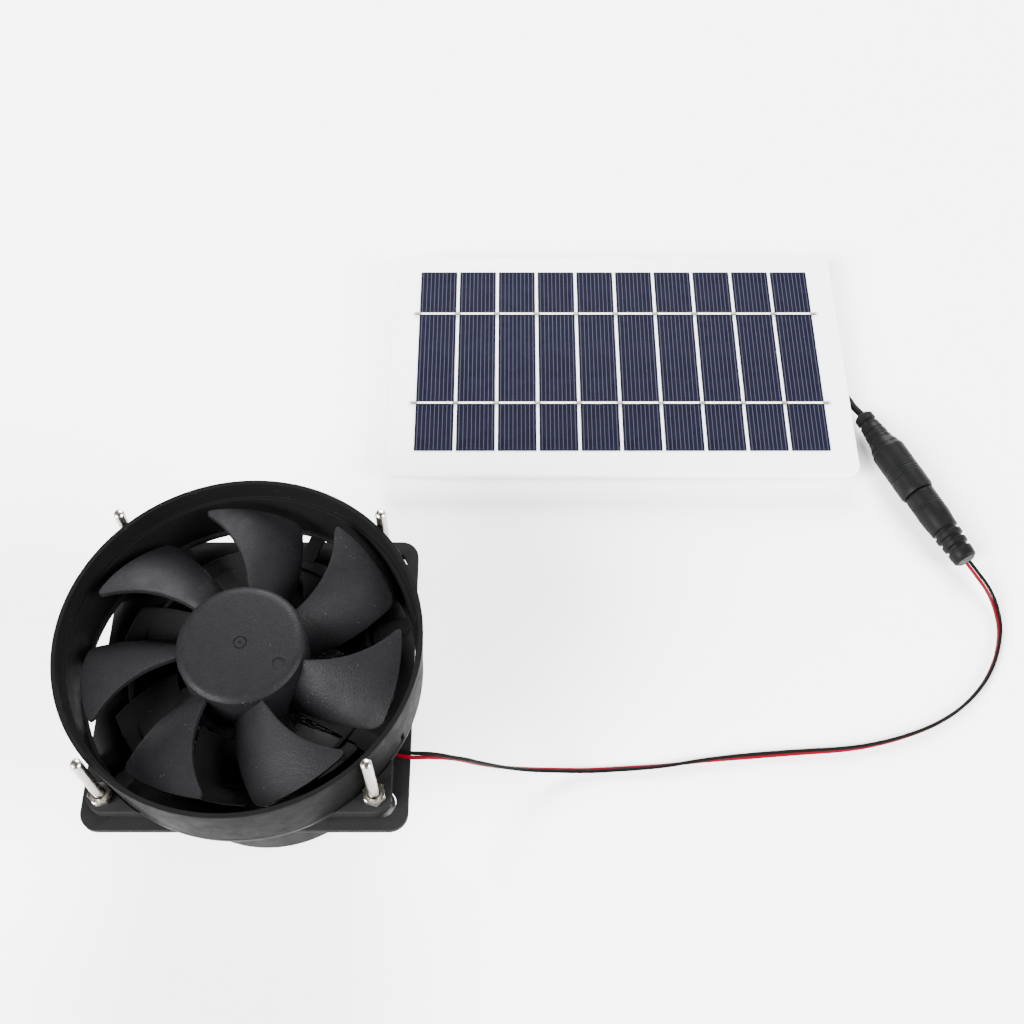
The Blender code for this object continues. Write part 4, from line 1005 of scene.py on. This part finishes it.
# The boss under the hub's roof, and its blind bore for the shaft
BOSS_R = 0.0027
BOSS_BOTTOM_Z = 0.0642
BORE_R = 0.0018
BORE_TOP_Z = 0.0659
BLADE_COUNT = 7
BLADE_FIRST_DEG = 7.2
BLADE_TIP_R = 0.0426
BLADE_THICK = 0.0013
BLADE_ROOT_Z = 0.0660
BLADE_TIP_Z = 0.0677
BLADE_TAIL_ROOT_Z = 0.0536
BLADE_TAIL_TIP_Z = 0.0580
BLADE_ROOT_LAG_DEG = 20.4
BLADE_BOW_DEG = 10.4
BLADE_TAIL_LAG_DEG = 51.5
BLADE_TAIL_GAIN_DEG = 15.5
BLADE_STRAIGHT_FALL = 0.4
BLADE_EDGE_R = 0.00035
TIP_CORNER_R = 0.0022
# Above 1, a blade's rows crowd towards its rounded tip
TIP_CROWDING = 1.6
GATE_MARK_R = 0.0018
EJECTOR_MARK_R = 0.0018
EJECTOR_MARK_AT = (0.0107, -0.0060)
GATE_RING_WIDTH = 0.0003
GATE_DOT_R = 0.0005
MARK_DEPTH = 0.00026


def corner_loss(radius):
    """How far a blade's edge draws in near the tip, which rounds its corners."""
    over = radius - (BLADE_TIP_R - TIP_CORNER_R)
    if over <= 0:
        return 0.0
    return TIP_CORNER_R - math.sqrt(max(TIP_CORNER_R ** 2 - over ** 2, 0.0))


def blade(number):
    """An impeller blade: a sheet from its high leading edge to its low trailing edge."""
    rows = []
    spans = 30
    columns = 26
    root_r = HUB_R - 0.0008
    tip_deg = BLADE_FIRST_DEG + number * 360 / BLADE_COUNT
    for row in range(spans + 1):
        share = 1 - (1 - row / spans) ** TIP_CROWDING
        radius = root_r + share * (BLADE_TIP_R - root_r)
        loss = math.degrees(corner_loss(radius) / radius)
        lead_deg = tip_deg - BLADE_ROOT_LAG_DEG * (1 - share) - BLADE_BOW_DEG * share * (1 - share)
        tail_deg = tip_deg - BLADE_TAIL_LAG_DEG + BLADE_TAIL_GAIN_DEG * share
        lead_z = BLADE_ROOT_Z + share * (BLADE_TIP_Z - BLADE_ROOT_Z) - BLADE_THICK / 2
        tail_z = BLADE_TAIL_ROOT_Z + share * (BLADE_TAIL_TIP_Z - BLADE_TAIL_ROOT_Z)
        inset = loss / (lead_deg - tail_deg)
        points = []
        for column in range(columns + 1):
            along = inset + (1 - 2 * inset) * column / columns
            fall = BLADE_STRAIGHT_FALL * along + (1 - BLADE_STRAIGHT_FALL) * along ** 2
            degrees = lead_deg + (tail_deg - lead_deg) * along
            points.append(polar(radius, degrees, lead_z + (tail_z - lead_z) * fall))
        rows.append(points)
    return sheet_solid(f"blade_{number}", rows, BLADE_THICK, FAN, BLADE_EDGE_R)


def build_impeller():
    """The hub, open below, with its blades and the marks that its mould left on it."""
    roof_z = HUB_TOP_Z - HUB_WALL
    outline = [
        (0.0, HUB_TOP_Z), (HUB_R - 0.0030, HUB_TOP_Z), (HUB_R - 0.0016, HUB_TOP_Z - 0.00012),
        (HUB_R - 0.0008, HUB_TOP_Z - 0.0005), (HUB_R - 0.0002, HUB_TOP_Z - 0.0011),
        (HUB_R, HUB_TOP_Z - 0.0020), (HUB_R, HUB_BOTTOM_Z + 0.0003), (HUB_R - 0.0003, HUB_BOTTOM_Z),
        (HUB_R - HUB_WALL, HUB_BOTTOM_Z), (HUB_R - HUB_WALL, roof_z), (BOSS_R, roof_z),
        (BOSS_R, BOSS_BOTTOM_Z), (BORE_R, BOSS_BOTTOM_Z), (BORE_R, BORE_TOP_Z), (0.0, BORE_TOP_Z),
    ]
    impeller = turned("fan_wheel", outline, 144, FAN, ring=False)
    for number in range(BLADE_COUNT):
        join(impeller, blade(number))
    top, floor = HUB_TOP_Z + OVERCUT, HUB_TOP_Z - MARK_DEPTH
    inner = GATE_MARK_R - GATE_RING_WIDTH
    cut(impeller, turned("gate_ring", [
        (GATE_MARK_R, top), (GATE_MARK_R, floor), (inner, floor), (inner, top),
    ], 40, FAN))
    for name, radius, facets, x, y in (
        ("gate_dot", GATE_DOT_R, 24, 0.0, 0.0),
        ("ejector_mark", EJECTOR_MARK_R, 40, *EJECTOR_MARK_AT),
    ):
        outline = [(0.0, top), (radius, top), (radius - 0.0001, floor), (0.0, floor)]
        cut(impeller, turned(name, outline, facets, FAN + Vector((x, y, 0.0)), ring=False))
    finished(impeller, "impeller", "impeller_plastic", ROTOR, "impeller")


# ------------------------------------------------------------------------- solar panel
PANEL_WIDTH = 0.1600
PANEL_DEPTH = 0.0960
PANEL_CORNER_R = 0.0038
CELL_COUNT = 10
CELL_DEPTH = 0.0787
CELL_Y = 0.0009
RIBBON_WIDTH = 0.0012
RIBBON_OVERHANG = 0.0024
STRIP_CORNER_R = 0.0002
BOARD_EDGE = 0.0004
CELL_EDGE = 0.00005
RIBBON_EDGE = 0.00004
FILM_EDGE = 0.0001


def panel_layer(name, outline, node, at, bevel):
    """A flat layer of the panel, from the bottom to the top of the node that it stands for."""
    low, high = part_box(node)
    return extruded(name, [outline], low.z, high.z, at, bevel=bevel)


def build_panel():
    """The board, its ten strips, the two ribbons across them and the clear cover."""
    outline = rectangle(PANEL_WIDTH, PANEL_DEPTH, PANEL_CORNER_R)
    board = panel_layer("panel_board", outline, "panel_backing", PANEL, BOARD_EDGE)
    finished(board, "board", "panel_white", HOUSING, "panel_backing")
    cell_outline = rectangle(CELL_WIDTH, CELL_DEPTH, STRIP_CORNER_R, 2)
    for number in range(CELL_COUNT):
        node = f"cell_{number + 1:02d}"
        at = PANEL + Vector(((number - (CELL_COUNT - 1) / 2) * CELL_PITCH, CELL_Y, 0.0))
        strip = panel_layer(f"strip_{number + 1:02d}", cell_outline, node, at, CELL_EDGE)
        finished(strip, "cell", "cell_blue", HOUSING, node)
    length = (CELL_COUNT - 1) * CELL_PITCH + CELL_WIDTH + 2 * RIBBON_OVERHANG
    ribbon_outline = rectangle(length, RIBBON_WIDTH, STRIP_CORNER_R, 2)
    for name, side in (("front", -1), ("rear", 1)):
        node = f"bus_ribbon_{name}"
        at = PANEL + Vector((0.0, CELL_Y + side * CELL_DEPTH / 4, 0.0))
        ribbon = panel_layer(f"ribbon_{name}", ribbon_outline, node, at, RIBBON_EDGE)
        finished(ribbon, "ribbon", "tinned_ribbon", HOUSING, node)
    film = panel_layer("cover_sheet", outline, "cover_film", PANEL, FILM_EDGE)
    finished(film, "film", "clear_film", HOUSING, "cover_film")


# ----------------------------------------------------- pieces that keep the CAD's shape
KEPT = {
    "lead_clip": "rubber", "rotor_yoke": "zinc", "rotor_magnet": "ferrite", "shaft": "steel",
    "shaft_clip": "spring", "preload_spring": "spring", "bearing_tube": "brass",
    "bearing_upper": "steel", "bearing_lower": "steel", "stator_core": "lamination",
    "coil_1": "copper", "coil_2": "copper", "coil_3": "copper", "coil_4": "copper",
    "circuit_board": "green", "seat_label": "label", "junction_box": "frame",
    "junction_lid": "frame", "blocking_diode": "diode", "cable_gland": "rubber",
    "jack_pin": "nut", "plug_barrel": "nut",
}


def paint_kept():
    """Puts a material on each of the solids that nothing replaces."""
    for node, paint in KEPT.items():
        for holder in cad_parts[node].material_slots:
            holder.material = PAINTS[paint]


# ------------------------------------------------------------------------------- studio
FLOOR_HALF = 14.0
# The sky fades with the upward part of its direction: (from, to, strength at from, strength at to)
SKY_FADE = (0.08, 0.42, 2.4, 0.06)
# Square lamps: name, place and power. All face LAMP_TARGET.
LAMPS = (
    ("key", (-2.5, -2.0, 2.25), 940.0),
    ("fill", (3.0, -1.25, 2.0), 500.0),
    ("back", (0.25, 3.25, 2.25), 625.0),
)
LAMP_SIZE = 2.25
LAMP_TARGET = (0.0, 0.0, 0.03)


def build_floor():
    """A plain pale floor that reaches far past the set."""
    form = bmesh.new()
    bmesh.ops.create_grid(form, x_segments=1, y_segments=1, size=FLOOR_HALF)
    floor = from_form("floor", form)
    paint = Paint("studio_floor")
    tone = paint.mix(paint.noise(3.0, 2.0), (0.93, 0.93, 0.93), (0.95, 0.95, 0.95))
    paint.set(Base_Color=tone, Roughness=0.9)
    floor.data.materials.append(paint.material)


def build_sky():
    """A white sky, bright at the horizon and dim overhead, which keeps the fan's inside dark."""
    world = bpy.data.worlds.new("studio")
    world.use_nodes = True
    nodes, links = world.node_tree.nodes, world.node_tree.links
    split = nodes.new("ShaderNodeSeparateXYZ")
    links.new(nodes.new("ShaderNodeTexCoord").outputs["Generated"], split.inputs[0])
    nodes["Background"].inputs["Color"].default_value = (1.0, 1.0, 1.0, 1.0)
    dimmed = nodes.new("ShaderNodeMapRange")
    for socket, value in zip(("From Min", "From Max", "To Min", "To Max"), SKY_FADE):
        dimmed.inputs[socket].default_value = value
    links.new(split.outputs[2], dimmed.inputs["Value"])
    links.new(dimmed.outputs[0], nodes["Background"].inputs["Strength"])
    bpy.context.scene.world = world


def build_lamps():
    """Large soft lamps, low and far away."""
    for name, at, power in LAMPS:
        light = bpy.data.lights.new(name, "AREA")
        light.size = LAMP_SIZE
        light.energy = power
        lamp = bpy.data.objects.new(name, light)
        lamp.location = at
        lamp.rotation_euler = (Vector(LAMP_TARGET) - Vector(at)).to_track_quat("-Z", "Y").to_euler()
        bpy.context.scene.collection.objects.link(lamp)


build_camera()
jack_piece, plug_piece = build_connector()
build_cords()
build_collar()
build_frame()
build_plate()
build_gasket()
build_fasteners()
build_impeller()
build_panel()
paint_kept()
build_floor()
build_sky()
build_lamps()
